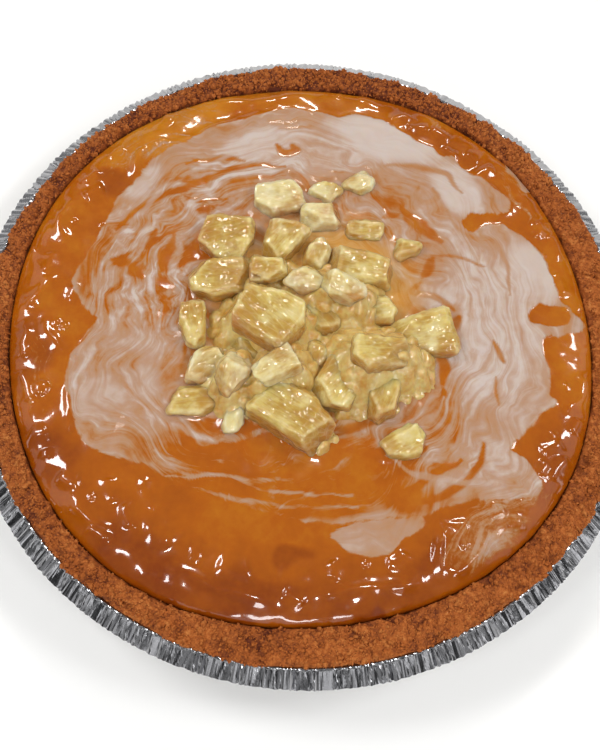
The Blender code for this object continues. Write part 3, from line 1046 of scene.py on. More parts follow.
@dataclass
class CrustCrumbs:
    """Loose crumbs that lie on the crust's crown, of two sizes."""

    fine_size: float = 0.42 * MM
    coarse_size: float = 0.85 * MM
    fine_density: float = 1.15e6
    coarse_density: float = 1.5e5
    seed: int = 11

    def scatter_tree(self) -> NodeTree:
        """The geometry tree that scatters uneven crumbs over the crumbly parts of a surface."""
        inputs = {
            "Density": ("NodeSocketFloat", 1e6),
            "Size": ("NodeSocketFloat", 0.0005),
            "Detail": ("NodeSocketInt", 1),
            "Seed": ("NodeSocketInt", 1),
            "Crumb": ("NodeSocketMaterial", None),
        }
        tree, given = geometry_tree("scattered_crumbs", inputs)
        add = partial(add_node, tree)
        where = add("GeometryNodeInputNamedAttribute", {"Name": "crumbly"})
        density = add(MATH, (where, given["Density"]), operation="MULTIPLY")
        surface = {"Mesh": given[0], "Density": density, "Seed": given["Seed"]}
        spots = add("GeometryNodeDistributePointsOnFaces", surface, distribute_method="RANDOM")
        ball = add("GeometryNodeMeshIcoSphere", {"Radius": given["Size"], "Subdivisions": given["Detail"]})
        place = add("GeometryNodeInputPosition")
        rough = add(NOISE, {"Vector": place, "Scale": 1600.0, "Detail": 1.0}, 1)
        push = add("ShaderNodeVectorMath", {0: rough, 1: (0.5, 0.5, 0.5)}, operation="SUBTRACT")
        reach = add(MATH, (given["Size"], 1.9), operation="MULTIPLY")
        push = add("ShaderNodeVectorMath", {0: push, "Scale": reach}, operation="SCALE")
        crumb = add("GeometryNodeSetPosition", {"Geometry": ball, "Offset": push})
        turns = {0: (0.0, 0.0, 0.0), 1: (FULL_TURN, FULL_TURN, FULL_TURN), "Seed": given["Seed"]}
        turn = add("FunctionNodeRandomValue", turns, data_type="FLOAT_VECTOR")
        sizes = {0: (0.45, 0.45, 0.45), 1: (1.35, 1.35, 1.1), "Seed": given["Seed"]}
        size = add("FunctionNodeRandomValue", sizes, data_type="FLOAT_VECTOR")
        inputs = {"Points": spots, "Instance": crumb, "Rotation": turn, "Scale": size}
        laid = add("GeometryNodeInstanceOnPoints", inputs)
        end_tree(tree, laid, given["Crumb"])
        return tree

    def build(self, crust: Object, finish: Material) -> list[Object]:
        """Scatters the crumbs.

        Args:
            crust: the finished crust.
            finish: its baked crumbs.

        Returns:
            One piece for each size of crumb.
        """
        tree = self.scatter_tree()
        kinds = (
            ("crust_crumbs_fine", self.fine_size, self.fine_density, 1),
            ("crust_crumbs_coarse", self.coarse_size, self.coarse_density, 2),
        )
        made = []
        for number, (name, size, density, detail) in enumerate(kinds):
            bed = new_object(name + "_bed", crust.data.copy())
            values = {
                "Density": density,
                "Size": size,
                "Detail": detail,
                "Seed": self.seed + number,
                "Crumb": finish,
            }
            use_nodes(bed, tree, values)
            crumbs = plain_copy(bed, name)
            count = len(crumbs.data.vertices)
            crumbs.data.shade_smooth()
            for kept in ("depth", "crumbly"):
                if kept in crumbs.data.attributes:
                    crumbs.data.attributes.remove(crumbs.data.attributes[kept])
            # The loose crumbs stand on top, so the painted crease shade leaves them at the lighter tone of
            # the lumps.
            store(crumbs.data, "depth", np.full(count, 0.75))
            place_piece(crumbs, "baked_crumb")
            made.append(crumbs)
        return made


class Glaze(Enum):
    """What a drawn line is in the glaze, and how milky it makes it, from 0 to 1."""

    MILK = 0.8
    AMBER = 0.0
    YELLOW = 0.3


@dataclass(frozen=True)
class Streak:
    """A line drawn in the glaze: what it is, its half width, how strong it is, and its points in mm."""

    kind: Glaze
    width: float
    strength: float
    path: Path


@dataclass(frozen=True)
class Ripple:
    """A raised line of glaze that catches the light: its height and half width, and its points in mm."""

    height: float
    width: float
    path: Path


@dataclass(frozen=True)
class Patch:
    """A soft oval on the top: its middle, its reaches and turn, and the levels that it gives in there."""

    x: float
    y: float
    across: float
    along: float
    turn: float
    level: float
    streaks: float = 0.0

    def weight(self, places: np.ndarray) -> np.ndarray:
        """How strongly it holds at each place, from 0 outside to 1 at its heart."""
        angle = math.radians(self.turn)
        off = places - np.array([self.x, self.y])
        u = off[:, 0] * math.cos(angle) + off[:, 1] * math.sin(angle)
        v = off[:, 1] * math.cos(angle) - off[:, 0] * math.sin(angle)
        return 1 - share(np.hypot(u / self.across, v / self.along), 0.55, 1.15)


ICING_OUTLINE: Path = (
    (0, 88.5), (10, 91), (20, 89), (26, 86), (33, 82), (40, 79.5), (42, 76), (48, 75.5), (52, 71), (56, 69),
    (60, 67), (64, 63), (69, 60), (70, 57), (67, 53.5), (58, 52.5), (53, 50), (52, 47), (55, 44.5),
    (60, 47.5),
    (67, 49.5), (70, 47), (75, 44), (80, 40), (84, 33), (86, 27), (89, 20), (92, 17.5), (96, 13), (96, 9.5),
    (90, 7), (82, 4.5), (82, 0), (84, -7), (84, -15), (86, -19), (80, -24), (77, -29), (72, -35), (71.5, -37),
    (76, -40), (80, -44), (81, -48), (78, -52), (70, -54), (60, -55), (55, -57), (45, -61), (30, -65),
    (12, -68), (-8, -66), (-25, -63), (-38, -60), (-45, -57), (-50, -55.5), (-58, -54), (-65, -52),
    (-70, -48),
    (-73, -42), (-76, -37), (-79, -30), (-79, -20), (-75, -12), (-72, -7), (-76, -5), (-80, 0), (-83, 3),
    (-84, 8), (-80, 20), (-77, 30), (-75, 40), (-72, 46), (-68, 54), (-66, 58), (-60, 65), (-52, 71),
    (-45, 77), (-38, 80), (-30, 84), (-20, 89), (-12, 91),
)
ICING_WINDOW: Path = ((77, 14), (80, 18), (86, 18), (91, 16), (91, 13), (88, 11), (82, 10), (78, 11))
ICING_LOBE: Path = (
    (14, -70.5), (22, -67), (33, -64), (42, -62), (43, -66), (37, -71), (32, -75.5), (23, -76.5), (17, -74),
)
ICING_RIM_PATCH: Path = ((67, 78), (71, 75), (75, 70), (78, 65), (74, 64.5), (71, 69), (67.5, 73))

ICING_PATCHES: tuple[Patch, ...] = (
    Patch(0, 0, 70, 66, 0, 0.42, 0.42),
    Patch(-60, 12, 24, 30, 0, 0.4, 0.5),
    Patch(-38, 52, 30, 16, 35, 0.5, 0.5),
    Patch(-5, 68, 26, 9, 0, 0.68, 0.25),
    Patch(20, 80, 26, 11, -8, 0.98, 0.04),
    Patch(-25, 73, 22, 8, 28, 0.85, 0.12),
    Patch(-16, 84, 13, 7, 10, 0.5, 0.22),
    Patch(50, 62, 15, 11, -40, 0.92, 0.08),
    Patch(77, 30, 14, 16, 0, 0.95, 0.04),
    Patch(63, 6, 25, 32, 0, 0.88, 0.2),
    Patch(68, -42, 16, 13, 0, 0.66, 0.3),
    Patch(44, -30, 10, 14, 0, 0.42, 0.4),
    Patch(35, 45, 12, 13, 0, 0.38, 0.35),
    Patch(-63, -28, 19, 26, 10, 0.52, 0.32),
    Patch(-66, -35, 9, 9, 0, 0.72, 0.16),
    Patch(-52, -28, 7, 7, 0, 0.7, 0.2),
    Patch(-55, -14, 9, 6, 0, 0.7, 0.25),
    Patch(-66, 49, 9, 5, 55, 0.85, 0.1),
    Patch(-4, -48, 48, 11, 2, -0.12, 0.55),
    Patch(0, -60, 54, 8, 2, -0.12, 0.4),
    Patch(30, -69, 18, 9, 10, 0.62, 0.12),
    Patch(73, 71, 9, 9, 0, 0.6, 0.1),
    Patch(50, 5, 5, 9, 0, 0.45, 0.3),
)

MISTS: tuple[Patch, ...] = (
    # Painted reflection: this mist makes the upper left rim milkier, for the broad pale sheen there.
    Patch(-62, 74, 32, 11, 42, 0.55),
    Patch(66, -62, 24, 10, 42, 0.8),
    Patch(-88, -30, 8, 20, 8, 0.25),
    Patch(76, 60, 20, 7, -55, 0.4),
)

STREAKS: tuple[Streak, ...] = (
    Streak(Glaze.AMBER, 1.5, 0.9, ((-73, 28), (-62, 42), (-45, 52), (-30, 60), (-15, 62))),
    Streak(Glaze.AMBER, 1.0, 0.7, ((-52, 60), (-40, 63), (-30, 63))),
    Streak(Glaze.AMBER, 0.9, 0.7, ((-45, 42), (-40, 44), (-35, 45))),
    Streak(Glaze.AMBER, 1.4, 0.9, ((-60, 22), (-59, 26), (-58, 30))),
    Streak(Glaze.AMBER, 2.6, 0.85, ((-72, 17), (-66, 14), (-60, 10))),
    Streak(Glaze.AMBER, 1.6, 0.85, ((-53, 15), (-52, 21), (-51, 28))),
    Streak(Glaze.AMBER, 1.8, 0.8, ((-19, 72), (-16, 69), (-12, 70), (-13, 73))),
    Streak(Glaze.AMBER, 1.3, 0.9, ((-35, -41), (-26, -43), (-18, -41))),
    Streak(Glaze.AMBER, 1.6, 0.9, ((-38, -51), (-20, -50), (-5, -49))),
    Streak(Glaze.AMBER, 1.0, 0.8, ((-25, -53), (-18, -54), (-12, -52))),
    Streak(Glaze.AMBER, 1.3, 1.0, ((42, -40), (35, -48), (28, -55), (18, -61), (5, -66), (0, -67))),
    Streak(Glaze.AMBER, 1.1, 1.0, ((54, -43), (47, -48), (40, -53), (33, -58))),
    Streak(Glaze.AMBER, 1.2, 1.0, ((62, -36), (60, -45), (52, -53), (40, -59))),
    Streak(Glaze.AMBER, 4.2, 1.0, ((0, -46), (6, -48), (12, -49))),
    Streak(Glaze.AMBER, 1.8, 0.9, ((12, -38), (20, -35), (28, -33))),
    Streak(Glaze.AMBER, 2.3, 0.95, ((45.5, -6), (46.5, -11), (47, -17))),
    Streak(Glaze.AMBER, 1.1, 0.9, ((47, -19), (48, -21))),
    Streak(Glaze.AMBER, 0.9, 0.7, ((64, 0), (66, -3), (68, -6))),
    Streak(Glaze.AMBER, 0.5, 0.5, ((65, -12), (66, -17), (66, -22))),
    Streak(Glaze.AMBER, 3.0, 0.75, ((29, 50), (36, 43), (44, 37))),
    Streak(Glaze.AMBER, 1.8, 0.7, ((38, 22), (40, 26), (42, 30))),
    Streak(Glaze.AMBER, 1.4, 0.7, ((22, 44), (25, 46), (28, 47))),
    Streak(Glaze.AMBER, 2.0, 0.75, ((48, 0), (50, 4), (52, 8))),
    Streak(Glaze.AMBER, 1.3, 0.6, ((38, 20), (35, 15), (42, 15), (50, 10))),
    Streak(Glaze.AMBER, 0.5, 0.55, ((41, 31), (46, 32), (52, 32), (61, 30))),
    Streak(Glaze.YELLOW, 1.2, 0.8, ((22, 67), (32, 69), (40, 69), (46, 67), (49, 62), (51, 60))),
    Streak(Glaze.YELLOW, 1.2, 0.75, ((35, 61), (34, 57), (38, 54), (42, 57), (41, 61))),
    Streak(Glaze.YELLOW, 0.8, 0.6, ((46, 52), (50, 45), (55, 42), (62, 42), (67, 38), (68, 33), (70, 20))),
    Streak(Glaze.MILK, 1.2, 0.75, ((-73, 17), (-66, 22), (-60, 32), (-57, 37))),
    Streak(Glaze.MILK, 1.6, 0.8, ((-50, 12), (-49, 18), (-48, 25))),
    Streak(Glaze.MILK, 4.0, 0.5, ((-77, 3), (-72, 8), (-67, 13))),
    Streak(Glaze.MILK, 1.2, 0.6, ((-38, -37), (-31, -36), (-25, -34))),
    Streak(Glaze.MILK, 1.1, 0.6, ((-40, -42), (-30, -46), (-15, -43), (-5, -38), (0, -37))),
    Streak(Glaze.MILK, 0.7, 0.5, ((-45, -52), (-35, -57), (-15, -57), (0, -55))),
    Streak(Glaze.MILK, 0.5, 0.6, ((-40, -59), (-20, -57.5), (0, -60), (20, -58))),
    Streak(Glaze.MILK, 0.6, 0.5, ((-44, -62), (-25, -63), (0, -64), (22, -62))),
    Streak(Glaze.MILK, 0.9, 0.7, ((-40, 33), (-47, 40), (-45, 47), (-32, 55))),
    Streak(Glaze.MILK, 1.1, 0.7, ((-69, 28), (-60, 45), (-48, 57), (-34, 66))),
    Streak(Glaze.MILK, 1.0, 0.6, ((30, -45), (42, -50), (55, -50), (66, -48))),
)

BAKE_PATCHES: tuple[Patch, ...] = (
    Patch(0, 100, 70, 22, 0, 0.3),
    Patch(96, 20, 18, 60, 0, 0.38),
    # Painted reflection: a paler patch on the upper left rim, for the broad pale sheen there.
    Patch(-62, 74, 34, 15, 42, 0.12),
    Patch(-15, -94, 40, 8, -3, 0.82),
    Patch(-47, -84, 17, 9, -25, 0.86),
    Patch(-80, -54, 11, 14, 35, 0.76),
    Patch(-93, -22, 7, 18, 10, 0.68),
    Patch(30, -92, 32, 7, 8, 0.74),
    Patch(50, -77, 13, 7, 35, 0.78),
    Patch(28, -94, 3, 3, 0, 1.0),
    Patch(4, -80, 6, 4, 0, 0.8),
    Patch(-74, 47, 8, 6, 0, 0.66),
    Patch(30, 90, 15, 6, -20, 0.62),
    Patch(48, 80, 11, 7, -40, 0.58),
)

RIPPLES: tuple[Ripple, ...] = (
    Ripple(0.7, 1.3, ((-52, 85), (-48, 87.5), (-40, 90), (-30, 91.5), (-22, 94), (-14, 97), (-6, 97.5))),
    Ripple(0.7, 1.1, ((-68, 54), (-66, 58), (-60, 65), (-52, 71), (-40, 79),
                      (-30, 84), (-22, 88.5), (-17, 91))),
    Ripple(0.7, 1.0, ((-69.5, 50), (-70.5, 56), (-70, 60), (-69, 66))),
    Ripple(0.8, 1.5, ((-64, 80), (-62, 79), (-60, 78))),
    Ripple(0.8, 1.4, ((-86, 40), (-83, 43), (-80, 45))),
    Ripple(0.7, 1.1, ((-91, 40), (-92, 34), (-93, 28), (-91, 24), (-88, 22))),
    Ripple(0.7, 1.1, ((-83, 53), (-86, 49), (-88, 46))),
    Ripple(0.6, 1.0, ((-81, 58), (-78, 62), (-76, 64))),
    Ripple(0.6, 1.1, ((-94, 17), (-93, 12), (-94, 8))),
    Ripple(0.6, 1.0, ((-83, 5), (-82, 2), (-84, -2))),
    Ripple(0.9, 1.3, ((-98, -5), (-95, -2), (-92, 3), (-91, 8))),
    Ripple(0.8, 1.1, ((-98, -11), (-95, -14), (-96, -19), (-93, -24))),
    Ripple(0.7, 1.0, ((-90, -8), (-88, -14), (-84, -18), (-83, -22))),
    Ripple(0.8, 1.2, ((-94, -28), (-92, -32), (-90, -36), (-88, -40))),
    Ripple(0.6, 0.9, ((-77, -32), (-75, -40), (-73, -48))),
    Ripple(0.7, 1.3, ((-86, -49), (-83, -50), (-80, -49))),
    Ripple(0.6, 1.0, ((-80, -54), (-79, -57))),
    Ripple(0.7, 1.2, ((-85, -61), (-83, -64), (-81, -66))),
    Ripple(0.7, 1.1, ((-74, -62), (-70, -64), (-66, -64))),
    Ripple(0.7, 1.1, ((-68, -70), (-63, -74), (-56, -77), (-53, -76))),
    Ripple(0.6, 1.0, ((-58, -61), (-57, -65), (-55, -69))),
    Ripple(0.7, 1.2, ((-52, -68), (-50, -72), (-48, -77))),
    Ripple(0.7, 1.1, ((-46, -59), (-46, -64), (-43, -68), (-41, -70))),
    Ripple(0.6, 1.0, ((-62, -77), (-58, -79), (-54, -81))),
    Ripple(0.6, 1.9, ((-45, -77), (-38, -75), (-33, -79))),
    Ripple(0.6, 1.3, ((-29, -82), (-25, -83))),
    Ripple(0.7, 1.8, ((-20, -84), (-15, -85), (-9, -84.5))),
    Ripple(0.6, 1.0, ((-36, -87), (-28, -87.5), (-22, -90), (-15, -91.5), (-5, -93), (0, -93.5))),
    Ripple(0.7, 1.2, ((94, -7), (96, -12), (94, -18), (88, -20))),
    Ripple(0.7, 1.1, ((94, -23), (93, -26), (91, -29))),
    Ripple(0.8, 1.1, ((88, -32), (84, -35), (80, -37))),
    Ripple(0.8, 1.1, ((90, -38), (87, -41), (85, -46))),
    Ripple(0.7, 1.0, ((83, -40), (81, -44))),
    Ripple(0.7, 1.9, ((80, -47), (76, -50), (72, -53))),
    Ripple(0.6, 1.1, ((70, -57), (63, -60))),
    Ripple(0.6, 1.1, ((75, -60), (70, -63))),
    Ripple(0.5, 0.9, ((58, -63), (53, -64), (48, -64))),
    Ripple(1.1, 2.4, ((46, -72), (50, -72))),
    Ripple(0.7, 1.1, ((64, -69), (57, -76), (52, -79))),
    Ripple(0.7, 1.1, ((39, -74), (36, -77), (32, -78))),
    Ripple(0.6, 1.0, ((44, -83), (35, -84.5), (25, -86), (18, -88), (10, -91.5))),
    Ripple(0.3, 1.3, ((-2, -84.2), (4, -83.8), (11, -83))),
    Ripple(0.6, 1.1, ((1, -90), (4, -91), (8, -93.5))),
    Ripple(0.7, 1.1, ((15, -79), (17, -82), (16, -85))),
    Ripple(0.6, 1.0, ((33, 96), (40, 95), (46, 93))),
    Ripple(0.6, 1.1, ((8, 98), (14, 97), (20, 95))),
    Ripple(0.9, 1.2, ((22, 88), (24, 91), (28, 92), (31, 90))),
    Ripple(0.8, 1.0, ((29, 87), (34, 88), (38, 88))),
    Ripple(0.8, 1.3, ((38, 89), (43, 86), (47, 84))),
    Ripple(0.8, 1.1, ((43, 80), (46, 77), (50, 77))),
    Ripple(0.7, 1.2, ((52, 78), (55, 77), (58, 76))),
    Ripple(0.8, 1.1, ((55, 68), (59, 71), (63, 74))),
    Ripple(0.7, 1.0, ((60, 67), (65, 61), (70, 59.5))),
    Ripple(0.6, 1.2, ((62, 78), (68, 72), (74, 63), (79, 56))),
    Ripple(0.8, 1.1, ((79, 52), (81, 48), (80, 44))),
    Ripple(0.8, 1.1, ((84, 47), (86, 42), (88, 36))),
    Ripple(0.6, 1.0, ((86, 32), (88, 27), (90, 22))),
    Ripple(0.6, 1.0, ((97, 15), (98, 8), (98, 0))),
)

BUBBLES: tuple[tuple[float, float, float], ...] = (
    (-62, 68, 2.2), (-88, 47, 1.4), (-88, 30, 1.3), (-78, 30, 1.2), (-100, 17, 1.3), (-86, -10, 1.7),
    (-83, -11, 1.6), (-86, -34, 3.0), (-96, -16, 1.5), (-93, -20, 1.3), (-77, -22, 1.2), (-76, -28, 1.2),
    (90, -12, 1.3), (66, -56, 1.3), (57, -70, 1.4), (26, -79, 1.4), (17, -84, 1.0), (2, 99, 1.3),
    (27, 91, 1.8),
    (32, 91, 1.3), (54, 87, 1.3), (63, 71, 1.1), (90, 17.5, 1.2), (95, 18, 1.2), (84, 7, 1.2), (85, -30, 1.2),
    (81, -35, 1.1), (88, -43, 1.2), (84, 51, 1.3), (82, 38, 1.1), (-62, -68, 1.4), (-73, -63, 1.2),
)


@dataclass
class GlazedCheesecake:
    """The baked cake with its rippled glaze and its swirled icing."""

    shape: CakeShape
    rings: int = 168
    body: Path = ((102.2, 25.4), (90.4, 15.0), (81.1, 7.3))
    highest: float = 34.5
    eye: tuple[float, float, float] = (-1.0, -114.0, 280.0)
    drawn_height: float = 30.0
    swirl_x: float = -13.0
    swirl_y: float = -5.0
    icing_relief: float = 0.35
    pool_height: float = 3.2
    pool_reach: float = 16.0
    climb: float = 0.7
    ripple_spread: float = 2.0
    ripple_rise: float = 1.35

    def drawn(self, points: np.ndarray) -> np.ndarray:
        """Where points of the top lie on the level plane that the lines are drawn on, in millimetres."""
        eye = np.array(self.eye)
        off = points / MM - eye
        scale = (self.drawn_height - eye[2]) / off[:, 2]
        return eye[:2] + off[:, :2] * scale[:, None]

    def wobbled(self, places: np.ndarray, reach: float, size: float) -> np.ndarray:
        """Places moved about by noise, so that drawn lines turn out uneven."""
        move = np.column_stack([noise_at(places, size, 1.5), noise_at(places, size, 8.5)])
        return places + move * reach

    def ripple_height(self, places: np.ndarray) -> np.ndarray:
        """How far the drawn ripples and bubbles raise each place, in millimetres."""
        raised = np.zeros(len(places))
        uneven = self.wobbled(places, 0.8, 5.0)
        for ripple in RIPPLES:
            line = eased_path(ripple.path, parts=3)
            width = ripple.width * self.ripple_spread
            near = near_line(uneven, line, 3 * width)
            distance, along = line_distance(uneven[near], line)
            ends = share(np.minimum(along, 1 - along), -0.05, 0.2)
            crest = ripple.height * self.ripple_rise * ends * np.exp(-((distance / width) ** 2))
            raised[near] = np.maximum(raised[near], crest)
        for x, y, radius in BUBBLES:
            off = np.hypot(places[:, 0] - x, places[:, 1] - y) / radius
            raised = np.maximum(raised, 0.45 * radius * np.sqrt(np.clip(1 - off**2, 0.0, 1.0)))
        return raised

    def icing(self, places: np.ndarray) -> dict[str, np.ndarray]:
        """How the icing lies: how far inside its edge, how thick, and how streaky.

        Args:
            places: rows of x and y on the drawn plane, in millimetres.

        Returns:
            One array for each attribute that the finish reads.
        """
        uneven = self.wobbled(places, 0.9, 4.0)
        edge = outline_distance(uneven, eased_path(ICING_OUTLINE, closed=True))
        edge = np.minimum(edge, -outline_distance(uneven, eased_path(ICING_WINDOW, closed=True)))
        for outline in (ICING_LOBE, ICING_RIM_PATCH):
            edge = np.maximum(edge, outline_distance(uneven, eased_path(outline, closed=True)))
        for mist in MISTS:
            edge = np.maximum(edge, -0.7 + 1.1 * mist.level * mist.weight(uneven))
        body = np.full(len(places), 0.55)
        streaks = np.full(len(places), 0.2)
        loose = self.wobbled(places, 3.0, 14.0)
        for patch in ICING_PATCHES:
            weight = patch.weight(loose)
            body += (patch.level - body) * weight
            streaks += (patch.streaks - streaks) * weight
        swirled = self.wobbled(places, 1.2, 6.0)
        for streak in STREAKS:
            line = eased_path(streak.path)
            near = near_line(swirled, line, 2 * streak.width + 1)
            distance, along = line_distance(swirled[near], line)
            width = streak.width * np.sqrt(np.sin(np.pi * np.clip(along, 0.04, 0.96)))
            weight = streak.strength * (1 - share(distance, width * 0.6, width * 1.25 + 0.35))
            body[near] += (streak.kind.value - body[near]) * weight
            streaks[near] *= 1 - 0.5 * weight
        return {"icing_edge": np.clip(edge, -5.0, 5.0), "icing_body": body, "icing_streaks": streaks}

    def baking(self, places: np.ndarray) -> np.ndarray:
        """How brown the skin is baked at each place, from 0 to 1."""
        radius, angle = np.hypot(places[:, 0], places[:, 1]), np.arctan2(places[:, 1], places[:, 0])
        near_side = share(-np.sin(angle - 0.35), -0.2, 0.8)
        bake = 0.42 + 0.26 * near_side * share(radius, 72.0, 96.0)
        uneven = self.wobbled(places, 6.0, 12.0)
        for patch in BAKE_PATCHES:
            bake += (patch.level - bake) * patch.weight(uneven)
        return bake

    def flow(self, places: np.ndarray) -> np.ndarray:
        """Coordinates that run along the swirl, so that a noise read there is drawn out round it.

        Args:
            places: rows of x and y on the drawn plane, in millimetres.

        Returns:
            A row for each place: slow round the swirl, and quick across it.
        """
        bent = self.wobbled(places, 10.0, 24.0)
        bent = self.wobbled(bent, 4.5, 9.0)
        bent = self.wobbled(bent, 1.2, 3.5)
        x, y = bent[:, 0] - self.swirl_x, bent[:, 1] - self.swirl_y
        radius = np.maximum(np.hypot(x, y), 1e-6)
        return np.column_stack([5.0 * x / radius, 5.0 * y / radius, radius * 0.42])

    def below(self, points: np.ndarray) -> tuple[np.ndarray, list[tuple[int, ...]]]:
        """The cake's side and underside, which close the top.

        Args:
            points: the top's points, with its rim last.

        Returns:
            The points that follow the top's own, and the faces from the rim down.
        """
        count = 6 * self.rings
        start = len(points) - count
        angle = np.arctan2(points[start:, 1], points[start:, 0])
        wide = self.shape.edge(angle) / self.shape.radius
        rows = [ring_rows(radius * MM * wide, angle, level * MM) for radius, level in self.body]
        rows.append(np.array([[0.0, 0.0, self.body[-1][1] * MM]]))
        faces: list[tuple[int, ...]] = []
        for ring in range(len(self.body)):
            faces += ring_faces(start + ring * count, start + (ring + 1) * count, count)
        last = start + len(self.body) * count
        faces += [(last + step, last + count, last + (step + 1) % count) for step in range(count)]
        return np.vstack(rows), faces

    def build(self, finish: Material, chunks: Iterable[Object]) -> Object:
        """Builds the cake.

        Args:
            finish: its glaze and icing.
            chunks: the fruit's CAD nodes, which the glaze climbs.

        Returns:
            The finished piece.
        """
        net, faces = even_disc(self.rings)
        spread = net * self.shape.radius
        height = self.shape.height(spread[:, 0], spread[:, 1])
        x, y = self.shape.fitted(spread[:, 0], spread[:, 1])
        brim = 1 + 0.006 * share(np.hypot(net[:, 0], net[:, 1]), 0.96, 1.0)
        points = np.column_stack([x * brim, y * brim, height])
        places = self.drawn(points)
        laid = self.icing(places)
        fade = 1 - share(np.hypot(net[:, 0], net[:, 1]), 0.985, 1.0)
        points[:, 2] += self.ripple_height(places) * fade * MM
        thick = np.clip(laid["icing_edge"], -0.6, 0.8) * self.icing_relief
        thick *= np.clip(laid["icing_body"], 0.2, 1.0)
        rim = share(np.hypot(places[:, 0], places[:, 1]), 70.0, 88.0)
        swell = (0.06 + 0.5 * rim) * noise_at(places, 7.5, 2.0)
        swell += (0.02 + 0.035 * rim) * noise_at(places, 3.0, 4.0)
        points[:, 2] += (thick + swell) * fade * MM
        feet = foot_distance(points[:, :2] / MM, foot_hulls(chunks))
        pool = self.pool_height * np.exp(-((feet / self.pool_reach) ** 2))
        pool *= 1 + 0.15 * noise_at(places, 7.0, 6.0)
        points[:, 2] += (pool + self.climb * np.exp(-feet / 1.5)) * MM
        points[:, 2] = np.minimum(points[:, 2], self.highest * MM)
        lower, sides = self.below(points)
        cake = mesh_object("cheesecake_glazed", np.vstack([points, lower]), list(faces) + sides)
        laid["bake"] = self.baking(places)
        uneven = self.wobbled(places, 6.0, 11.0)
        laid["juice"] = 0.75 * (1 - share(np.hypot(uneven[:, 0] - 2, uneven[:, 1] - 4), 24.0, 46.0))
        for name, values in laid.items():
            filler = -5.0 if name == "icing_edge" else 0.3
            store(cake.data, name, np.concatenate([values, np.full(len(lower), filler)]))
        store(cake.data, "flow", np.vstack([self.flow(places), np.zeros((len(lower), 3))]))
        cake.data.materials.append(finish)
        place_piece(cake, "glazed_top", "cheesecake")
        return cake


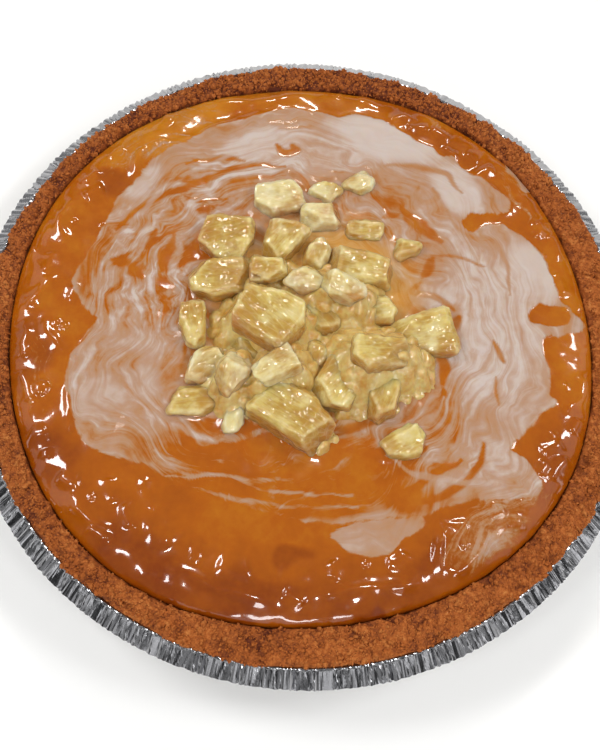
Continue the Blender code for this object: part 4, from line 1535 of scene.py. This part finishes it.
@dataclass
class FruitHeap:
    """The fruit chunks of the heap, each rounded, fibrous and wet."""

    nodes: dict[str, Object]
    voxel: float = 0.5 * MM
    cuts: int = 7
    swell: float = 0.45 * MM
    spread: float = 1.14
    crispness: float = 0.5
    fibre: float = 0.1 * MM
    seed: int = 5
    pulp_rings: int = 90
    pulp_reach: float = 58.0
    pulp_floor: float = 27.0
    highest: float = 50.2
    bare: float = 3.8
    bank: float = 1.0
    pale: tuple[int, ...] = (11, 13, 15, 16, 17, 20, 25, 27, 28, 30, 32)

    def cut(self, source: Object, name: str, numbers: random.Random) -> Object:
        """A copy of a CAD chunk with some corners sliced off flat, as an even fine net.

        Args:
            source: the CAD node.
            name: the new piece's name.
            numbers: where the slices come from.

        Returns:
            The new object, as one plain mesh.
        """
        bm = bmesh.new()
        bm.from_mesh(source.data)
        bmesh.ops.remove_doubles(bm, verts=bm.verts[:], dist=0.001 * MM)
        corners = [corner.co.copy() for corner in bm.verts]
        middle = sum(corners, Vector()) / len(corners)
        for corner in numbers.sample(corners, self.cuts):
            off = corner - middle
            lean = Vector([numbers.uniform(-0.45, 0.45) for _ in range(3)])
            facing = (off.normalized() + lean).normalized()
            place = corner - facing * off.length * numbers.uniform(0.08, 0.26)
            parts = bm.verts[:] + bm.edges[:] + bm.faces[:]
            plane = {"plane_co": place, "plane_no": facing, "clear_outer": True}
            slit = bmesh.ops.bisect_plane(bm, geom=parts, dist=1e-7, **plane)
            edges = [part for part in slit["geom_cut"] if isinstance(part, bmesh.types.BMEdge)]
            bmesh.ops.holes_fill(bm, edges=edges)
        mesh = bpy.data.meshes.new(name)
        bm.to_mesh(mesh)
        bm.free()
        made = new_object(name + "_rough", mesh)
        remesh = made.modifiers.new("even", "REMESH")
        remesh.mode = "VOXEL"
        remesh.voxel_size = self.voxel
        return plain_copy(made, name)

    def crisp(self, mesh: Mesh, points: np.ndarray) -> np.ndarray:
        """How far each point stands off a smoothed version of the mesh, which is most at its cut edges.

        Args:
            mesh: the chunk's mesh.
            points: its points.

        Returns:
            A row of three numbers for each point.
        """
        edges = np.empty(len(mesh.edges) * 2, int)
        mesh.edges.foreach_get("vertices", edges)
        first, second = edges.reshape(-1, 2).T
        count = np.bincount(edges, minlength=len(points))[:, None]
        smooth = points.copy()
        for _ in range(6):
            total = np.zeros_like(smooth)
            np.add.at(total, first, smooth[second])
            np.add.at(total, second, smooth[first])
            smooth = total / count
        return points - smooth

    def build_chunk(self, node: str, finish: Material, numbers: random.Random) -> Object:
        """Builds one chunk.

        Args:
            node: the CAD node that it stands for.
            finish: its flesh.
            numbers: where its unevenness comes from.

        Returns:
            The finished piece.
        """
        chunk = self.cut(self.nodes[node], node + "_flesh", numbers)
        mesh = chunk.data
        points = points_of(mesh)
        middle = points.mean(0)
        _, _, axes = np.linalg.svd(points - middle, full_matrices=False)
        local = (points - middle) @ axes.T / MM
        shift = numbers.uniform(0.0, 50.0)
        grain = local * np.array([0.24, 1.0, 1.0]) + shift
        normals = np.empty(len(points) * 3)
        mesh.vertices.foreach_get("normal", normals)
        normals = normals.reshape(-1, 3)
        cells = lumps_at(grain, 1.5)
        sags = noise_at(local + shift, 7.0) * 0.5 + noise_at(local + shift, 2.4) * 0.34
        push = self.swell + (cells - 0.6) * self.fibre + sags * MM
        crisp = self.crisp(mesh, points)
        points = points + crisp * self.crispness + normals * push[:, None]
        edges = np.clip((crisp * normals).sum(1) / (0.22 * MM), 0.0, 1.0)
        points = middle + (points - middle) * np.array([self.spread, self.spread, 1.0])
        points[:, 2] = np.clip(points[:, 2], None, self.highest * MM)
        mesh.vertices.foreach_set("co", points.ravel())
        mesh.update()
        mesh.shade_smooth()
        store(mesh, "grain", grain)
        store(mesh, "edges", edges)
        # Painted shade: the attribute inside turns amber the sides that face sideways and the parts sunk
        # below the crown.
        crown = points[:, 2].max() / MM
        sunk = share(crown - points[:, 2] / MM, 1.0, 7.0)
        lit = np.array([numbers.uniform(-1, 1), numbers.uniform(-1, 1), numbers.uniform(-0.5, 0.5)])
        store(mesh, "glow", np.clip(local @ lit / np.abs(local @ lit).max(), -1.0, 1.0))
        store(mesh, "inside", np.clip(0.55 * sunk + 0.6 * share(1 - normals[:, 2], 0.15, 0.9), 0.0, 1.0))
        pale = 0.65 if int(node[-2:]) in self.pale else numbers.uniform(0.0, 0.3)
        store(mesh, "pale", np.full(len(points), pale))
        mesh.materials.clear()
        mesh.materials.append(finish)
        place_piece(chunk, "soaked_fruit", node)
        return chunk

    def bed(self, places: np.ndarray) -> np.ndarray:
        """How high the loose juice cells lie round the chunks, in millimetres.

        Args:
            places: rows of x and y, in millimetres.

        Returns:
            One height for each place.
        """
        level = np.full(len(places), self.pulp_floor)
        for chunk in self.nodes.values():
            corners = points_of(chunk.data) / MM
            upper = corners[corners[:, 2] > corners[:, 2].mean()]
            outline = upper[:, :2][geometry.convex_hull_2d([Vector(corner) for corner in upper[:, :2]])]
            near = near_line(places, outline, 12.0)
            away = np.clip(-outline_distance(places[near], outline), 0.0, None)
            top = (upper[:, 2].mean() + upper[:, 2].max()) / 2
            top -= self.bare * (1.0 if top > 40 else 1.4)
            level[near] = np.maximum(level[near], top - self.bank * away)
        return level

    def build_pulp(self, finish: Material) -> Object:
        """Builds the bed of loose juice cells that fills the gaps between the chunks.

        Args:
            finish: its flesh.

        Returns:
            The finished piece.
        """
        net, faces = even_disc(self.pulp_rings)
        places = net * self.pulp_reach
        bend = np.column_stack([noise_at(places, 12.0), noise_at(places, 12.0, 4.0)])
        cells = lumps_at(np.column_stack([places + 4 * bend, np.zeros(len(places))]), 2.2)
        level = self.bed(places + 0.8 * bend)
        # Broken bits of fruit of about 6 mm stand out of the loose cells.
        bits = lumps_at(np.column_stack([places + 2 * bend, np.full(len(places), 3.0)]), 6.0)
        rough = noise_at(places, 5.0, 2.0) * 0.8 + (bits - 0.6) * 2.0 + (cells - 0.5) * 0.35
        height = level + rough * share(level, 28.0, 33.0)
        height[np.hypot(net[:, 0], net[:, 1]) > 0.999] = 26.0
        points = np.column_stack([places, height]) * MM
        count = 6 * self.pulp_rings
        start = len(points) - count
        under = np.array([[0.0, 0.0, 25.5 * MM]])
        closing = [(start + step, len(points), start + (step + 1) % count) for step in range(count)]
        pulp = mesh_object("fruit_pulp", np.vstack([points, under]), list(faces) + closing)
        pulp.data.materials.append(finish)
        place_piece(pulp, "soaked_fruit")
        return pulp

    def build(self, finish: Material) -> list[Object]:
        """Builds every chunk.

        Args:
            finish: their flesh.

        Returns:
            One piece for each chunk.
        """
        numbers = random.Random(self.seed)
        return [self.build_chunk(node, finish, numbers) for node in sorted(self.nodes)]


# Each lamp: its name, place in metres, width and height, watts, and tint.
LAMPS: tuple[tuple[Any, ...], ...] = (
    ("key", (0.0, 0.62, 0.62), (0.2, 0.08), 1.7, "FFF8F0"),
    ("ceiling_lamp", (0.02, -0.24, 0.66), (0.06, 0.06), 0.6, "FFFCF6"),
    ("left_window", (-0.47, 0.15, 0.6), (0.24, 0.12), 1.8),
    ("right_window", (0.47, 0.1, 0.6), (0.22, 0.12), 1.5),
    ("left_lamp", (-0.36, -0.24, 0.6), (0.1, 0.1), 0.6),
    ("right_lamp", (0.36, -0.24, 0.6), (0.1, 0.1), 0.6),
    ("front_window", (0.1, -0.65, 0.5), (0.3, 0.08), 1.0),
    ("left_glow", (-0.78, 0.1, 0.55), (0.9, 0.35), 0.5),
    ("right_glow", (0.8, 0.0, 0.55), (0.9, 0.35), 0.5),
    ("front_card", (0.0, -0.85, 0.42), (0.7, 0.2), 0.4),
    ("left_card", (-0.9, -0.35, 0.25), (0.5, 0.12), 0.3),
    ("right_card", (0.9, -0.35, 0.25), (0.5, 0.12), 0.3),
)


@dataclass
class Studio:
    """The plain floor, the soft lights and the camera at the photograph's angle."""

    eye: Point = (-1.0 * MM, -114.0 * MM)
    eye_height: float = 280.0 * MM
    pitch: float = 20.8
    roll: float = 6.5
    focal_pixels: float = 791.0
    frame_pixels: float = 750.0
    floor_reach: float = 14.0
    surround: float = 0.2
    low_surround: float = 0.01
    horizon: float = 0.4

    def build_floor(self, finish: Material) -> None:
        """Lays the floor under the tin."""
        reach = self.floor_reach
        corners = np.array(
            [(-reach, -reach, 0.0), (reach, -reach, 0.0), (reach, reach, 0.0), (-reach, reach, 0.0)]
        )
        floor = mesh_object("studio_floor", corners, [(0, 1, 2, 3)])
        floor.data.materials.append(finish)

    def build_camera(self) -> None:
        """Sets up the camera."""
        data = bpy.data.cameras.new("camera")
        data.sensor_width = 36.0
        data.lens = self.focal_pixels * data.sensor_width / self.frame_pixels
        data.clip_start = 0.01
        camera = new_object("camera", data)
        place = Matrix.Translation((*self.eye, self.eye_height))
        tip = Matrix.Rotation(math.radians(self.pitch), 4, "X")
        roll = Matrix.Rotation(math.radians(self.roll), 4, "Z")
        camera.matrix_world = place @ (tip @ roll)
        bpy.context.scene.camera = camera

    def add_light(
        self, name: str, place: Sequence[float], size: Point, power: float, tint: str = "FFFFFF"
    ) -> None:
        """Hangs a soft light that faces the cake.

        Args:
            name: the light's name.
            place: where it hangs, in metres.
            size: its width and height, in metres.
            power: its strength in watts.
            tint: its hex colour.
        """
        data = bpy.data.lights.new(name, "AREA")
        data.shape = "RECTANGLE"
        data.size, data.size_y = size
        data.energy = power
        data.color = linear(tint)[:3]
        light = new_object(name, data)
        aim = (Vector((0.0, 0.0, 0.03)) - Vector(place)).to_track_quat("-Z", "Y").to_matrix().to_4x4()
        light.matrix_world = Matrix.Translation(place) @ aim

    def build_lights(self) -> None:
        """Hangs the lights and sets the surround and how the picture is developed."""
        scene = bpy.context.scene
        world = bpy.data.worlds.new("soft_surround")
        world.use_nodes = True
        tree = world.node_tree
        add = partial(add_node, tree)
        towards = add("ShaderNodeTexCoord", out="Object")
        rise = add("ShaderNodeSeparateXYZ", {0: towards}, 2)
        above = (rise, 0.3, 0.62, self.low_surround, self.surround)
        bright = add(RANGE, above, interpolation_type="SMOOTHSTEP")
        # A pale band along the horizon is the backdrop that the low views see behind the floor.
        band = (rise, 0.2, 0.3, self.horizon, 0.0)
        backdrop = add(RANGE, band, interpolation_type="SMOOTHSTEP")
        bright = add(MATH, (bright, backdrop), operation="ADD")
        fill_inputs(tree.nodes["Background"], {"Color": linear("FFFFFF"), "Strength": bright})
        scene.world = world
        scene.view_settings.view_transform = "Standard"
        for lamp in LAMPS:
            self.add_light(*lamp)


def main() -> None:
    """Builds the cheesecake's pieces in order."""
    logging.basicConfig(level=logging.INFO, format="%(message)s")
    nodes = FRAME["nodes"]
    shape = CakeShape()
    crumb = BakedCrumb().make()
    fruit = {name: node for name, node in nodes.items() if name.startswith("fruit_chunk")}
    FoilTin().build(CrinkledFoil().make())
    crust = CrumbCrust(shape).build(crumb)
    CrustCrumbs().build(crust, crumb)
    GlazedCheesecake(shape).build(GlazedTop().make(), fruit.values())
    heap = FruitHeap(fruit)
    heap.build(CitrusFlesh().make())
    heap.build_pulp(SoakedPulp().make())
    studio = Studio()
    studio.build_floor(PalePaper().make())
    studio.build_lights()
    studio.build_camera()


if __name__ == "__main__":
    main()
